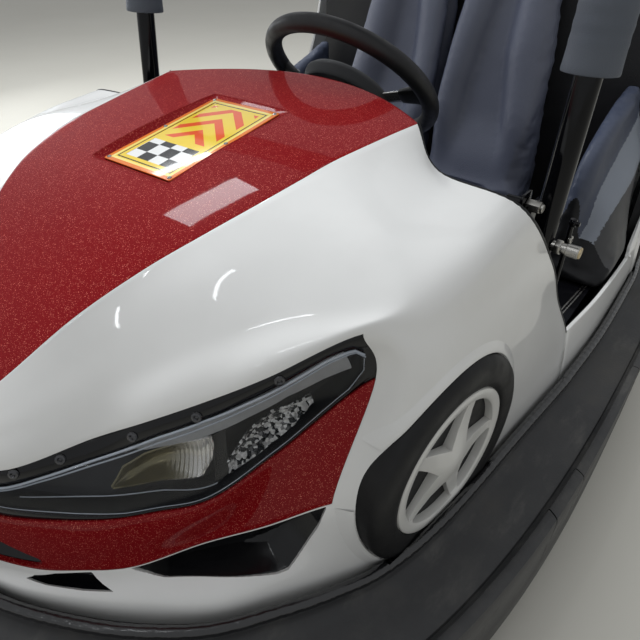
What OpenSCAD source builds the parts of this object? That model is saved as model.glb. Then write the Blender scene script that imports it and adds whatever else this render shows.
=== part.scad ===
// Two-seat electric bumper car: floor pan with rubber bumper ring, moulded body, steered drive unit.
// Millimetres, nose towards -Y, +Z up, origin on the floor under the middle of the bumper's box.

/* [Overall] */
// Length over the bumper
car_length = 1960; // [1900:5:2020]
// Width over the bumper
car_width = 1200; // [1190:2:1240]
// Wall of the moulded body shells
shell_wall = 6; // [4:0.5:8]

/* [Floor pan] */
// Height of the floor pan's underside
pan_z = 115; // [105:1:120]
// Thickness of the floor pan's sheet
pan_sheet = 5; // [4:0.5:8]
// Height of the pan's rim, which carries the body
rim_top = 250; // [246:1:256]

/* [Bumper] */
// Height of the bumper's underside
bumper_low = 96; // [85:1:105]
// Height of the bumper's outer lip
bumper_lip = 256; // [250:1:262]
// Radius of the glossy welt between body and bumper
welt_r = 8; // [6:0.5:9]

/* [Wheels] */
// Radius of the drive wheel's tyre
drive_r = 110; // [100:1:115]
// Width of the drive wheel's tyre
drive_tyre_w = 60; // [50:1:66]
// Distance of the drive unit's vertical axis ahead of the middle
drive_y = 500; // [480:5:520]
// Radius of the rear wheels
rear_r = 90; // [80:1:95]
// Width of the rear wheels
rear_w = 44; // [36:1:50]
// Half of the track between the rear wheels
rear_track_half = 360; // [340:5:380]
// Distance of the rear axle behind the middle
rear_y = 560; // [540:5:600]
// Radius of the moulded dummy tyres
dummy_r = 147; // [140:1:150]
// Outer radius of the dummy rims
dummy_rim_r = 106; // [100:1:110]

/* [Steering] */
// Outer radius of the steering wheel
wheel_out_r = 169; // [160:1:175]
// Radius of the steering wheel's rim section
rim_section_r = 15; // [13:0.5:17]
// Tilt of the steering column from upright
column_tilt = 44; // [42:1:46]
// Radius of the steering shaft
shaft_r = 11; // [9:0.5:13]

/* [Safety hoop] */
// Half distance between the hoop's posts
post_half = 424; // [420:1:426]
// Radius of the hoop's steel tube
post_r = 17; // [15:0.5:18]
// Radius of the foam sleeves
foam_r = 34; // [30:1:36]
// Height of the hoop's crown above the floor
hoop_top = 985; // [960:5:1000]
// Height at which the foam sleeves begin
foam_low = 766; // [750:2:800]
// Lean of the upright hoop to the rear, degrees
hoop_lean = 5.5; // [4:0.5:7]

/* [Seats] */
// Width of one seat's cushion
seat_w = 244; // [236:1:252]
// Gap between the two seats
seat_gap = 24; // [16:1:30]
// Distance of the side wings' inner faces from the middle
wing_x = 372; // [368:1:376]

/* [Hidden] */
$fn = 48;
// Radial clearance of a pin in its bore
fit = 0.05;
// Sub-divisions of the shells' grids
sub = 2;

// Half width of the strip between the two lamps
nose_half = 40;
half_w = car_width / 2;
half_l = car_length / 2;
// Middle of the bumper's widest stretch
waist_y = 50;

// Front shell: one row of [x, y, z] for each meridian, from the nose to the cockpit edge.
// Columns: foot, chin lip, vent top, lamp bottom, lamp top, crest, bevel, seam.
FRONT = [
  [[40, -857, 250], [40, -856, 278], [40, -848, 306], [40, -834, 388],
   [40, -812, 452], [40, -803, 470], [40, -796, 483], [40, -788, 496]],
  [[110, -840, 250], [110, -838, 280], [118, -818, 303], [108, -816, 390],
   [114, -797, 460], [104, -780, 490], [92, -768, 510], [78, -754, 530]],
  [[190, -802, 250], [188, -799, 283], [176, -784, 312], [197, -759, 396],
   [174, -721, 485], [157, -705, 520], [136, -690, 553], [115, -677, 583]],
  [[255, -762, 250], [252, -757, 285], [226, -745, 320], [245, -712, 400],
   [222, -687, 505], [205, -655, 550], [180, -628, 592], [152, -607, 622]],
  [[316, -712, 250], [312, -706, 288], [273, -681, 332], [288, -668, 412],
   [272, -646, 532], [258, -605, 583], [226, -572, 622], [183, -545, 648]],
  [[364, -648, 250], [360, -642, 293], [324, -629, 350], [325, -598, 450],
   [322, -605, 563], [318, -550, 606], [280, -505, 640], [204, -475, 666]],
  [[402, -590, 250], [400, -586, 300], [384, -581, 390], [393, -521, 540],
   [382, -532, 600], [384, -500, 617], [328, -455, 650], [214, -420, 676]],
  [[432, -530, 250], [433, -530, 310], [436, -535, 400], [430, -500, 520],
   [420, -480, 580], [404, -455, 622], [342, -415, 652], [220, -370, 683]],
  [[455, -427, 250], [457, -427, 320], [458, -425, 400], [452, -410, 500],
   [440, -395, 568], [421, -370, 634], [332, -360, 656], [228, -325, 688]],
  [[474, -235, 250], [474, -235, 320], [470, -225, 395], [458, -230, 490],
   [448, -245, 560], [421, -300, 642], [325, -295, 657], [240, -262, 694]],
  [[494, -60, 250], [489, -55, 300], [479, -45, 352], [462, -100, 440],
   [452, -160, 530], [421, -262, 645], [305, -250, 657], [250, -214, 698]]];
// Rear shell: one row for each meridian, from the sill's front end to the tail.
// Columns: foot, low, belt, mid, high, crest, deck edge.
REAR = [
  [[494, -54, 250], [489, -49, 300], [479, -39, 352], [478, -35, 356], [477, -31, 360],
   [476, -27, 364], [475, -23, 368]],
  [[503, 100, 250], [500, 100, 300], [492, 100, 352], [491, 104, 356], [490, 108, 360],
   [489, 112, 364], [488, 116, 368]],
  [[503, 280, 250], [502, 280, 300], [497, 282, 352], [496, 286, 356], [495, 290, 360],
    [494, 294, 364], [493, 298, 370]],
  [[498, 400, 250], [498, 400, 310], [496, 402, 370], [491, 412, 440], [486, 424, 500],
    [478, 434, 550], [462, 440, 596]],
  [[467, 570, 250], [467, 570, 315], [464, 568, 380], [458, 565, 470], [449, 560, 560],
   [432, 545, 660], [424, 478, 826]],
  [[402, 700, 250], [401, 698, 320], [396, 690, 390], [388, 680, 480], [374, 665, 570],
   [352, 640, 668], [345, 480, 862]],
  [[298, 790, 250], [297, 787, 325], [292, 778, 395], [284, 765, 485], [270, 745, 575],
   [252, 715, 678], [250, 480, 870]],
  [[158, 846, 250], [157, 843, 328], [154, 833, 400], [149, 819, 490], [142, 799, 580],
   [131, 766, 690], [130, 480, 872]],
  [[0, 862, 250], [0, 859, 330], [0, 849, 400], [0, 835, 490], [0, 813, 580],
   [0, 781, 695], [0, 480, 872]]];

// Points between b and c on the smooth curve through a, b, c, d
function blend4(a, b, c, d, t) = 0.5 * (2 * b + (c - a) * t + (2 * a - 5 * b + 4 * c - d) * t * t
  + (3 * b - a - 3 * c + d) * t * t * t);
function smooth(P, n) = let (m = len(P)) [
  for (i = [0:m - 2], k = [0:n - 1])
    let (a = i == 0 ? 2 * P[0] - P[1] : P[i - 1],
      d = i == m - 2 ? 2 * P[m - 1] - P[m - 2] : P[i + 2])
    blend4(a, P[i], P[i + 1], d, k / n),
  P[m - 1]];
function turned(G) = [for (j = [0:len(G[0]) - 1]) [for (i = [0:len(G) - 1]) G[i][j]]];
function fine(G, n) = turned([for (c = turned([for (r = G) smooth(r, n)])) smooth(c, n)]);
function unit(v) = v / max(norm(v), 1e-9);
// Inward normal of a grid whose rows run from nose to side and columns from foot to top
function inward(G, i, j) = let (m = len(G) - 1, n = len(G[0]) - 1,
    u = G[min(i + 1, m)][j] - G[max(i - 1, 0)][j],
    v = G[i][min(j + 1, n)] - G[i][max(j - 1, 0)],
    c = cross(v, u),
    e = abs(G[i][j].x) <= nose_half ? [0, c.y, c.z] : (i == 0 || i == m) ? [c.x, 0, c.z] : c,
    f = j == 0 ? [e.x, e.y, 0] : j == n && G == FRONT_GRID ? [0, u.z, -u.y] : e)
  unit(f);
// The same along the hood, whose rows run across and columns from cockpit to nose
hood_inward = function(i, j) let (m = len(HOOD_GRID) - 1, n = len(HOOD_GRID[0]) - 1,
    u = HOOD_GRID[min(i + 1, m)][j] - HOOD_GRID[max(i - 1, 0)][j],
    v = HOOD_GRID[i][min(j + 1, n)] - HOOD_GRID[i][max(j - 1, 0)])
  i == 0 || i == m || j == n ? unit([0, -v.z, v.y]) : unit(cross(v, u));

// Closed skin over the kept cells of a grid: outer face at depth a, inner face at depth b
module skin(G, a, b, keep, inner = undef) {
  m = len(G);
  n = len(G[0]);
  deep = function(i, j, d) G[i][j] + (is_undef(inner) ? inward(G, i, j) : inner(i, j)) * d;
  P = [for (d = [a, b], i = [0:m - 1], j = [0:n - 1]) deep(i, j, is_function(d) ? d(i, j) : d)];
  at = function(s, i, j) s * m * n + i * n + j;
  on = function(i, j) i >= 0 && j >= 0 && i < m - 1 && j < n - 1 && keep(i, j);
  quad = function(p, q, r, s) [[p, q, r], [p, r, s]];
  F = [for (i = [0:m - 2], j = [0:n - 2]) if (on(i, j))
    each concat(
      quad(at(0, i, j), at(0, i, j + 1), at(0, i + 1, j + 1), at(0, i + 1, j)),
      quad(at(1, i, j), at(1, i + 1, j), at(1, i + 1, j + 1), at(1, i, j + 1)),
      on(i - 1, j) ? [] : quad(at(0, i, j), at(1, i, j), at(1, i, j + 1), at(0, i, j + 1)),
      on(i + 1, j) ? [] : quad(at(0, i + 1, j), at(0, i + 1, j + 1), at(1, i + 1, j + 1), at(1, i + 1, j)),
      on(i, j - 1) ? [] : quad(at(0, i, j), at(0, i + 1, j), at(1, i + 1, j), at(1, i, j)),
      on(i, j + 1) ? [] : quad(at(0, i, j + 1), at(1, i, j + 1), at(1, i + 1, j + 1), at(0, i + 1, j + 1)))];
  polyhedron(P, F);
}

module both_sides() {
  children();
  mirror([1, 0, 0]) children();
}

FRONT_GRID = fine(FRONT, sub);
REAR_GRID = fine(REAR, sub);

// Plan outline of the body's foot: half from nose to tail, then closed by symmetry
HALF = concat(
  [[0, -860]],
  [for (i = [0:len(FRONT_GRID) - 1]) [FRONT_GRID[i][0].x, FRONT_GRID[i][0].y]],
  [for (i = [1:len(REAR_GRID) - 1]) [REAR_GRID[i][0].x, REAR_GRID[i][0].y]]);
OUTLINE = concat(HALF, [for (i = [len(HALF) - 2:-1:1]) [-HALF[i].x, HALF[i].y]]);
function plan_normal(i) = let (n = len(OUTLINE), t = OUTLINE[(i + 1) % n] - OUTLINE[(i + n - 1) % n])
  unit([t.y, -t.x]);
function shifted(d) = [for (i = [0:len(OUTLINE) - 1]) OUTLINE[i] + plan_normal(i) * d];
// Point of the bumper's outer face on the ray from the waist's middle through a foot point
bumper_power = 2.9;
function bumper_out(p) = let (d = p - [0, waist_y],
    b = d.y < 0 ? half_l + waist_y : half_l - waist_y,
    k = pow(pow(abs(d.x) / half_w, bumper_power) + pow(abs(d.y) / b, bumper_power), -1 / bumper_power))
  [0, waist_y] + d * k;

// Closed ring of section points [share from the body to the outer face, height]
module swept_ring(S) {
  m = len(OUTLINE);
  n = len(S);
  P = [for (i = [0:m - 1]) let (a = OUTLINE[i], b = bumper_out(a))
    for (s = S) let (q = a + (b - a) * s[0]) [q.x, q.y, s[1]]];
  F = [for (i = [0:m - 1], k = [0:n - 1]) let (i2 = (i + 1) % m, k2 = (k + 1) % n)
    each [[i * n + k, i2 * n + k2, i * n + k2], [i * n + k, i2 * n + k, i2 * n + k2]]];
  polyhedron(P, F);
}

// Floor pan and rim, with four holes for a transport frame
rim_wall = 5;
drive_hole_r = 150;
rear_slot = [rear_w + 20, 2 * rear_r + 30];
frame_hole_r = 5.5;
frame_pitch = [600, 300];
frame_mid_y = 270;
module chassis() color([0.16, 0.17, 0.18]) difference() {
  union() {
    translate([0, 0, pan_z]) linear_extrude(pan_sheet) polygon(shifted(-1));
    difference() {
      translate([0, 0, pan_z]) linear_extrude(rim_top - pan_z) polygon(OUTLINE);
      translate([0, 0, pan_z - 1]) linear_extrude(rim_top - pan_z + 2) polygon(shifted(-rim_wall));
    }
  }
  translate([0, -drive_y, pan_z - 1]) cylinder(r = drive_hole_r, h = pan_sheet + 2);
  both_sides() translate([rear_track_half - rear_slot.x / 2, rear_y - rear_slot.y / 2, pan_z - 1])
    cube([rear_slot.x, rear_slot.y, pan_sheet + 2]);
  both_sides() for (s = [-1, 1])
    translate([frame_pitch.x / 2, frame_mid_y + s * frame_pitch.y / 2, pan_z - 1])
      cylinder(r = frame_hole_r, h = pan_sheet + 2);
}

// Gap between fixed pieces that only stand next to each other
gap = 0.3;
// Solid rubber ring around the pan's rim; columns: share across, height
ridge_z = 263;
BUMPER = [[0, bumper_low + 8], [0, rim_top], [0.03, ridge_z - 1], [0.13, ridge_z],
  [0.17, 252], [0.5, 246], [0.82, 246],
  [0.86, bumper_lip], [0.98, bumper_lip], [1, bumper_lip - 8], [1, bumper_low + 12],
  [0.94, bumper_low], [0.08, bumper_low]];
module bumper_ring() color([0.2, 0.2, 0.2]) difference() {
  swept_ring(BUMPER);
  arch_holes(gap);
}

// Welt on the bumper's inner ridge; its share across is taken on the ring's mean width
ring_width = 110;
welt_from = 0.04;
welt_z = ridge_z + gap + welt_r;
WELT = [for (a = [0:45:315]) [welt_from + welt_r * (1 + cos(a)) / ring_width, welt_z + welt_r * sin(a)]];
module welt() color([0.05, 0.05, 0.05]) difference() {
  swept_ring([for (k = [len(WELT) - 1:-1:0]) WELT[k]]);
  arch_holes(gap);
}

// Regions of the front grid, by feature cell
function cell(i) = floor(i / sub);
lamp_to = 6;
is_lamp = function(i, j) cell(j) == 3 && cell(i) < lamp_to;
is_band = function(i, j) cell(j) == 2 && cell(i) < lamp_to;
is_vent = function(i, j) cell(j) == 1 && (cell(i) == 1 || (cell(i) >= 3 && cell(i) < 6));

arch_centre = [457, -427, 369];
arch_toe = 8;
rear_arch = [486, 500, 369];
rear_toe = -9;
arch_reach = 100;
module at_arch(c, toe) translate(c) rotate([0, 0, toe]) rotate([0, 90, 0]) children();
module in_arches() both_sides() {
  at_arch(arch_centre, -arch_toe) children();
  at_arch(rear_arch, -rear_toe) children();
}
module arch_holes(reach) in_arches() translate([0, 0, -dummy_depth - gap])
  cylinder(r = dummy_r + gap, h = dummy_depth + gap + reach);

module front_half()
  skin(FRONT_GRID, 0, shell_wall, function(i, j) !is_lamp(i, j) && !is_band(i, j) && !is_vent(i, j));
module front_shell() color([0.9, 0.9, 0.89]) difference() {
  union() {
    both_sides() front_half();
    nose_block(0, 1, 0, shell_wall);
  }
  arch_holes(arch_reach);
}
// Middle of the nose between the two halves: straight across from side to side
module nose_block(j0, j1, a, b) {
  G = [for (s = [-1, 1]) [for (j = [0:len(FRONT_GRID[0]) - 1])
    let (p = FRONT_GRID[0][j]) [s * p.x, p.y, p.z]]];
  skin(G, a, b, function(i, j) cell(j) >= j0 && cell(j) < j1);
}

// Hood panel: arcs from seam to seam, bulging to the rear towards the cockpit
hood_crown = 10;
hood_bulge = 92;
SEAM = [for (r = FRONT_GRID) r[len(r) - 1]];
hood_across = 12;
HOOD_GRID = [for (k = [0:hood_across]) let (s = 1 - 2 * k / hood_across)
  [for (i = [len(SEAM) - 1:-1:0]) let (p = SEAM[i], v = pow(i / (len(SEAM) - 1), 2))
    [s * p.x, p.y + v * hood_bulge * (1 - s * s), p.z + hood_crown * (1 - s * s) * min(1, i / 6)]]];
plate_low = -492;
plate_high = -282;
plate_half = 66;
plate_len = plate_high - plate_low;
plate_slope = 9;
plate_seat = 676;
plate_sheet = 2;
pocket_margin = 7;
pocket_wall = 4;
module at_plate()
  translate([0, (plate_low + plate_high) / 2, plate_seat]) rotate([plate_slope, 0, 0]) children();
module plate_box(grow, z, h)
  translate([-plate_half - grow, -plate_len / 2 - grow, z])
    cube([2 * (plate_half + grow), plate_len + 2 * grow, h]);
module hood_skin(depth) skin(HOOD_GRID, 0, depth, function(i, j) true, hood_inward);
module hood_panel() color([0.62, 0.05, 0.08]) {
  difference() {
    hood_skin(shell_wall);
    at_plate() plate_box(pocket_margin, -30, 80);
  }
  difference() {
    intersection() {
      hood_skin(34);
      at_plate() plate_box(pocket_margin + pocket_wall, -pocket_wall, 80);
    }
    at_plate() plate_box(pocket_margin, 0, 80);
  }
  nose_block(1, 7, 0, shell_wall);
}
module hood_plate() color([0.93, 0.76, 0.15]) at_plate() plate_box(0, 0.3, plate_sheet);

module nose_band() color([0.62, 0.05, 0.08]) both_sides() skin(FRONT_GRID, 0, shell_wall, is_band);

module lens() skin(FRONT_GRID, 0, shell_wall, is_lamp);
module lamp_lens_left() color([0.8, 0.85, 0.88, 0.5]) lens();
module lamp_lens_right() color([0.8, 0.85, 0.88, 0.5]) mirror([1, 0, 0]) lens();
// Depth of a bowl behind a region: its border stays at the shell's inner face
function bowl_depth(i, j, i0, i1, j0, j1, d) =
  i <= i0 || i >= i1 || j <= j0 || j >= j1 ? shell_wall + 0.2 : shell_wall + d;
module bowl(region, i0, i1, j0, j1, d) skin(FRONT_GRID,
  function(i, j) bowl_depth(i, j, sub * i0, sub * i1, sub * j0, sub * j1, d),
  function(i, j) bowl_depth(i, j, sub * i0, sub * i1, sub * j0, sub * j1, d) + 3, region);
module lamp_bowls() color([0.1, 0.1, 0.11]) both_sides() bowl(is_lamp, 0, lamp_to, 3, 4, 34);
module nose_vents() color([0.06, 0.06, 0.06]) both_sides() {
  bowl(function(i, j) is_vent(i, j) && cell(i) == 1, 1, 2, 1, 2, 22);
  bowl(function(i, j) is_vent(i, j) && cell(i) > 2, 3, 6, 1, 2, 26);
}

// Rear shell with sills, tail deck and rear arches
is_tail = function(i, j) cell(j) == 3 && cell(i) == 5;
module rear_half() skin(REAR_GRID, 0, shell_wall,
  function(i, j) (cell(i) >= 2 || cell(j) < 2) && !is_tail(i, j));
module rear_shell() color([0.9, 0.9, 0.89]) difference() {
  both_sides() rear_half();
  arch_holes(arch_reach);
}
module tail_lamps() color([0.6, 0.04, 0.05]) both_sides() skin(REAR_GRID, 0, shell_wall, is_tail);

// Moulded dummy wheels in the arches: the rim lies in a shallow seat and both stand on the pan's rim
dummy_depth = 40;
rim_seat = 12;
rim_border = 16;
rim_hub_r = 26;
spoke_w = 22;
spoke_h = 9;
foot_x = arch_centre.z - rim_top - gap;
module dummy_tyres() color([0.08, 0.08, 0.08]) in_arches() difference() {
  translate([0, 0, -dummy_depth]) cylinder(r = dummy_r, h = dummy_depth);
  translate([0, 0, -rim_seat]) cylinder(r = dummy_rim_r + gap, h = rim_seat + 1);
  translate([foot_x, -dummy_r - 1, -dummy_depth - 1]) cube([dummy_r, 2 * dummy_r + 2, dummy_depth + 2]);
}
module dummy_rims() color([0.9, 0.9, 0.88]) in_arches() intersection() {
  translate([0, 0, gap - rim_seat]) {
    difference() {
      cylinder(r = dummy_rim_r, h = rim_seat);
      translate([0, 0, -1]) cylinder(r = dummy_rim_r - rim_border, h = rim_seat + 2);
    }
    cylinder(r = rim_hub_r, h = rim_seat + 4);
    for (a = [18:72:359]) rotate([0, 0, a]) translate([0, -spoke_w / 2, 0])
      cube([dummy_rim_r - rim_border / 2, spoke_w, spoke_h]);
  }
  translate([-dummy_r, -dummy_r, -dummy_depth]) cube([dummy_r + foot_x, 2 * dummy_r, 2 * dummy_depth]);
}

// Cockpit: dash cowl under the hood, with the column's clamp
dash_depth = 90;
column_out_r = 20;
clamp_y = -165;
clamp_size = [48, 24, 120];
clamp_z = 500;
module dash() color([0.07, 0.07, 0.08]) difference() {
  union() {
    skin(HOOD_GRID, shell_wall + gap, shell_wall + dash_depth, function(i, j) j < sub, hood_inward);
    translate([-clamp_size.x / 2, clamp_y, clamp_z]) cube(clamp_size);
  }
  at_column() translate([0, 0, -400]) cylinder(r = column_out_r + column_fit, h = 380);
}
// Wall between footwell and nose, notched for the steering gear; half outline [x, z]
wall_y = -350;
wall_sheet = 4;
WALL = [[395, pan_z + pan_sheet], [395, 600], [330, 640], [220, 662]];
module bulkhead() color([0.08, 0.08, 0.09]) difference() {
  translate([0, wall_y + wall_sheet, 0]) rotate([90, 0, 0]) linear_extrude(wall_sheet)
    polygon(concat(WALL, [for (k = [len(WALL) - 1:-1:0]) [-WALL[k].x, WALL[k].y]]));
  translate([-gear_half - gap, wall_y - 1, gear_z - gap])
    cube([2 * (gear_half + gap), wall_sheet + 2, gear_h + 2 * gap]);
}
floor_z = pan_z + pan_sheet;
mat_h = 4;
mat_front = wall_y + wall_sheet + gap;
module floor_mat() color([0.09, 0.09, 0.1])
  translate([2 - ledge_in, mat_front, floor_z]) cube([2 * ledge_in - 4, base_front - 2 - mat_front, mat_h]);
ledge_in = post_half - 32;
ledge_out = 466;
ledge_h = 215;
ledge_front = -200;
ledge_step = 220;
ledge_back = 470;
ledge_narrow = 50;
module side_ledges() color([0.1, 0.1, 0.11]) both_sides() translate([ledge_in, 0, floor_z]) {
  translate([0, ledge_front, 0]) cube([ledge_out - ledge_in, ledge_step - ledge_front, ledge_h]);
  translate([0, ledge_step, 0]) cube([ledge_narrow, ledge_back - ledge_step, ledge_h]);
}
// Open-bottomed box under both seats, over the battery
base_half = 380;
base_front = 52;
base_back = 462;
base_wall = 6;
module base_box(grow, z, h) translate([-base_half - grow, base_front - grow, z])
  cube([2 * (base_half + grow), base_back - base_front + 2 * grow, h]);
module seat_base() color([0.09, 0.09, 0.1]) difference() {
  base_box(0, floor_z, ledge_h);
  base_box(-base_wall, floor_z - 1, ledge_h - base_wall + 1);
}
// Upright panel behind the seats, on the box's rear edge
panel_half = 410;
panel_h = 464;
module rear_panel() color([0.09, 0.09, 0.1]) translate([-panel_half, base_back - base_wall, seat_z])
  cube([2 * panel_half, base_wall, panel_h]);
battery = [400, 300, 190];
battery_front = 100;
module battery_pack() color([0.2, 0.2, 0.22]) translate([-battery.x / 2, battery_front, floor_z]) cube(battery);

// Seats: side profile [y, z] across the front outline [x, z], which narrows towards the head
seat_z = floor_z + ledge_h + gap;
SEAT = [[55, seat_z], [290, seat_z], [330, 345], [370, 480], [490, 960], [478, 992], [456, 996],
  [438, 965], [316, 560], [272, 430], [240, 405], [70, 425], [50, 400]];
SEAT_FRONT = [[0, seat_z - 1], [seat_w, seat_z - 1], [seat_w, 470], [seat_w - 18, 600],
  [seat_w - 28, 690], [seat_w - 48, 787], [seat_w - 66, 880], [seat_w - 82, 950],
  [seat_w - 102, 1000], [64, 1000], [44, 950], [28, 880], [10, 787], [0, 660]];
module seat() translate([seat_gap / 2, 0, 0]) intersection() {
  rotate([90, 0, 90]) linear_extrude(seat_w) polygon(SEAT);
  translate([0, 600, 0]) rotate([90, 0, 0]) linear_extrude(600) polygon(SEAT_FRONT);
}
module seat_left() color([0.14, 0.15, 0.19]) seat();
module seat_right() color([0.14, 0.15, 0.19]) mirror([1, 0, 0]) seat();
// Stations of a wing along y: [y, outer x, outer top, ridge x, ridge top, step top, wall top]
WING = [[152, 478, 350, 436, 356, 362, 366], [170, 484, 358, 438, 392, 400, 470],
  [190, 484, 362, 442, 425, 436, 532], [225, 484, 366, 446, 462, 494, 570],
  [300, 480, 372, 450, 496, 541, 606], [345, 460, 384, 448, 510, 562, 622],
  [385, 449, 400, 443, 528, 582, 636], [425, 440, 440, 436, 545, 605, 648]];
wing_step_x = 410;
wing_wall_x = 400;
// Foot of the wing's rear part, which stands behind the seat's back
function wing_foot(y) = y < 336 ? seat_z : seat_z + (y - 336) * 2.4;
function wing_row(w) = let(z0 = wing_foot(w[0])) [[wing_x, w[0], z0], [w[1], w[0], z0], [w[1], w[0], w[2]],
  [w[3], w[0], w[4]], [wing_step_x, w[0], w[5]], [wing_wall_x, w[0], w[6]], [wing_x, w[0], w[6]]];
wing_sides = 7;
module wing() let(n = wing_sides, m = len(WING)) polyhedron(
  points = [for (w = WING) each wing_row(w)],
  faces = concat([for (k = [0:m - 2], a = [0:n - 1]) let(b = (a + 1) % n)
      [k * n + a, (k + 1) * n + b, (k + 1) * n + a]],
    [for (k = [0:m - 2], a = [0:n - 1]) let(b = (a + 1) % n)
      [k * n + a, k * n + b, (k + 1) * n + b]],
    [[for (a = [n - 1:-1:0]) a]], [[for (a = [0:n - 1]) (m - 1) * n + a]]));
module wing_left() color([0.2, 0.21, 0.24]) wing();
module wing_right() color([0.2, 0.21, 0.24]) mirror([1, 0, 0]) wing();

// Steering
hub_centre = [0, -12, 678];
module at_column() translate(hub_centre) rotate([-column_tilt, 0, 0]) children();
rim_r = wheel_out_r - rim_section_r;
shaft_len = 328;
module steering_rim() color([0.07, 0.07, 0.07]) at_column()
  rotate_extrude($fn = 64) translate([rim_r, 0]) circle(r = rim_section_r, $fn = 24);
hub_r = 82;
hub_back = 36;
hub_front = 8;
arm = [rim_r - 62, 30, 5];
arm_drop = 24;
arm_tilt = 16;
module steering_hub() color([0.2, 0.2, 0.22]) at_column() difference() {
  union() {
    translate([0, 0, -hub_back]) cylinder(r = hub_r, h = hub_back - hub_front);
    for (a = [0, 90, 180]) rotate([0, 0, a]) translate([hub_r - 22, -arm.y / 2, -arm_drop])
      rotate([0, -arm_tilt, 0]) cube(arm);
  }
  rotate_extrude($fn = 64) translate([rim_r, 0]) circle(r = rim_section_r + 0.05, $fn = 24);
}
module steering_shaft() color([0.6, 0.6, 0.62]) at_column()
  translate([0, 0, -shaft_len]) cylinder(r = shaft_r, h = shaft_len - hub_back);
tube_end = shaft_len + 4;
tube_top = hub_back + 15;
column_fit = 0.1;
module column_tube() color([0.1, 0.1, 0.1]) at_column() difference() {
  translate([0, 0, -tube_end]) cylinder(r = column_out_r, h = tube_end - tube_top);
  translate([0, 0, -tube_end - 1]) cylinder(r = shaft_r + fit, h = tube_end - tube_top + 2);
}
// Steering gear: a closed housing from the column's foot to the drive unit's spindle
gear_half = 50;
gear_z = 400;
gear_h = 60;
gear_front = -560;
gear_back = -214;
spindle_r = 15;
lug = [105, 12, 12];
module steering_gearbox() color([0.25, 0.25, 0.26]) difference() {
  union() {
    translate([-gear_half, gear_front, gear_z]) cube([2 * gear_half, gear_back - gear_front, gear_h]);
    translate([-lug.x, -drive_y - lug.y, gear_z]) cube([2 * lug.x, 2 * lug.y, lug.z]);
  }
  at_column() translate([0, 0, -tube_end]) cylinder(r = column_out_r + column_fit, h = 160);
  translate([0, -drive_y, gear_z - 1]) cylinder(r = spindle_r + fit, h = 12);
}
// Drive unit's mount: a round plate on four legs, with two posts under the steering gear
mount_z = 250;
mount_t = 12;
mount_r = 120;
leg_w = 24;
leg_out = 185;
leg_t = 20;
post_x = 95;
gear_post_r = 10;
swivel_r = 30;
module drive_mount() color([0.22, 0.22, 0.23]) difference() {
  union() {
    translate([0, -drive_y, mount_z]) cylinder(r = mount_r, h = mount_t);
    for (a = [45:90:315]) translate([0, -drive_y, 0]) rotate([0, 0, a]) {
      translate([mount_r - 20, -leg_w / 2, mount_z]) cube([leg_out - mount_r + 20, leg_w, mount_t]);
      translate([leg_out - leg_t, -leg_w / 2, floor_z]) cube([leg_t, leg_w, mount_z - floor_z]);
    }
    both_sides() translate([post_x, -drive_y, mount_z + mount_t])
      cylinder(r = gear_post_r, h = gear_z - mount_z - mount_t);
  }
  translate([0, -drive_y, mount_z - 1]) cylinder(r = swivel_r + fit, h = mount_t + 2);
}
pedal = [70, 40, 12];
pedal_at = [90, -285];
pedal_plate = [70, 8, 120];
module foot_pedal() color([0.5, 0.5, 0.5]) translate([pedal_at.x, pedal_at.y, floor_z + mat_h]) {
  cube(pedal);
  translate([0, 10, 6]) rotate([30, 0, 0]) cube(pedal_plate);
}
axle_r = 10;
bracket_low = 70;
bracket = [84, 80];
module rear_bracket() translate([rear_track_half, rear_y, 0]) difference() {
  translate([-bracket.x / 2, -bracket.y / 2, bracket_low]) cube([bracket.x, bracket.y, pan_z - bracket_low]);
  translate([-rear_slot.x / 2, -bracket.y / 2 - 1, bracket_low - 1])
    cube([rear_slot.x, bracket.y + 2, pan_z]);
  translate([-bracket.x / 2 - 1, 0, rear_r]) rotate([0, 90, 0]) cylinder(r = axle_r + fit, h = bracket.x + 2);
}
module rear_brackets() color([0.22, 0.22, 0.23]) both_sides() rear_bracket();
// Pivot plates of the hoop, standing on the ledges, each with its pin
pivot = [post_half, -138, 545];
pin_r = 8;
pin_press = 0.5;
plate_x = post_half - 28;
plate_t = 6;
plate_reach = 50;
ledge_top = floor_z + ledge_h;
module hoop_brackets() color([0.1, 0.1, 0.1]) both_sides() {
  difference() {
    translate([plate_x, pivot.y - plate_reach, ledge_top])
      cube([plate_t, 2 * plate_reach, pivot.z + plate_reach - ledge_top]);
    translate([plate_x - 1, pivot.y, pivot.z]) rotate([0, 90, 0])
      cylinder(r = pin_r - pin_press, h = plate_t + 2);
  }
  translate([plate_x - 3, pivot.y, pivot.z]) rotate([0, 90, 0])
    cylinder(r = pin_r, h = 2 * (pivot.x - plate_x) - 8);
}

// Drive unit
fork_z = mount_z - 15;
fork_r = 70;
fork_t = 10;
fork_in = drive_tyre_w / 2 + 10;
fork_leg = [10, 50];
motor_z = mount_z + mount_t + 5;
motor_r = 70;
motor_h = 128;
spindle_h = 12;
hub_out_r = 75;
module at_drive(z) translate([0, -drive_y, z]) children();
module drive_fork() color([0.3, 0.3, 0.31]) difference() {
  union() {
    at_drive(fork_z) cylinder(r = fork_r, h = fork_t);
    at_drive(fork_z) cylinder(r = swivel_r, h = motor_z - fork_z);
    both_sides() translate([fork_in, -drive_y - fork_leg.y / 2, drive_r - 20])
      cube([fork_leg.x, fork_leg.y, fork_z + 5 - drive_r + 20]);
  }
  translate([-fork_in - 20, -drive_y, drive_r]) rotate([0, 90, 0])
    cylinder(r = axle_r + fit, h = 2 * fork_in + 40);
}
module drive_motor() color([0.18, 0.2, 0.22]) {
  at_drive(motor_z) cylinder(r = motor_r, h = motor_h);
  at_drive(motor_z + motor_h) cylinder(r = spindle_r, h = spindle_h);
}
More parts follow.
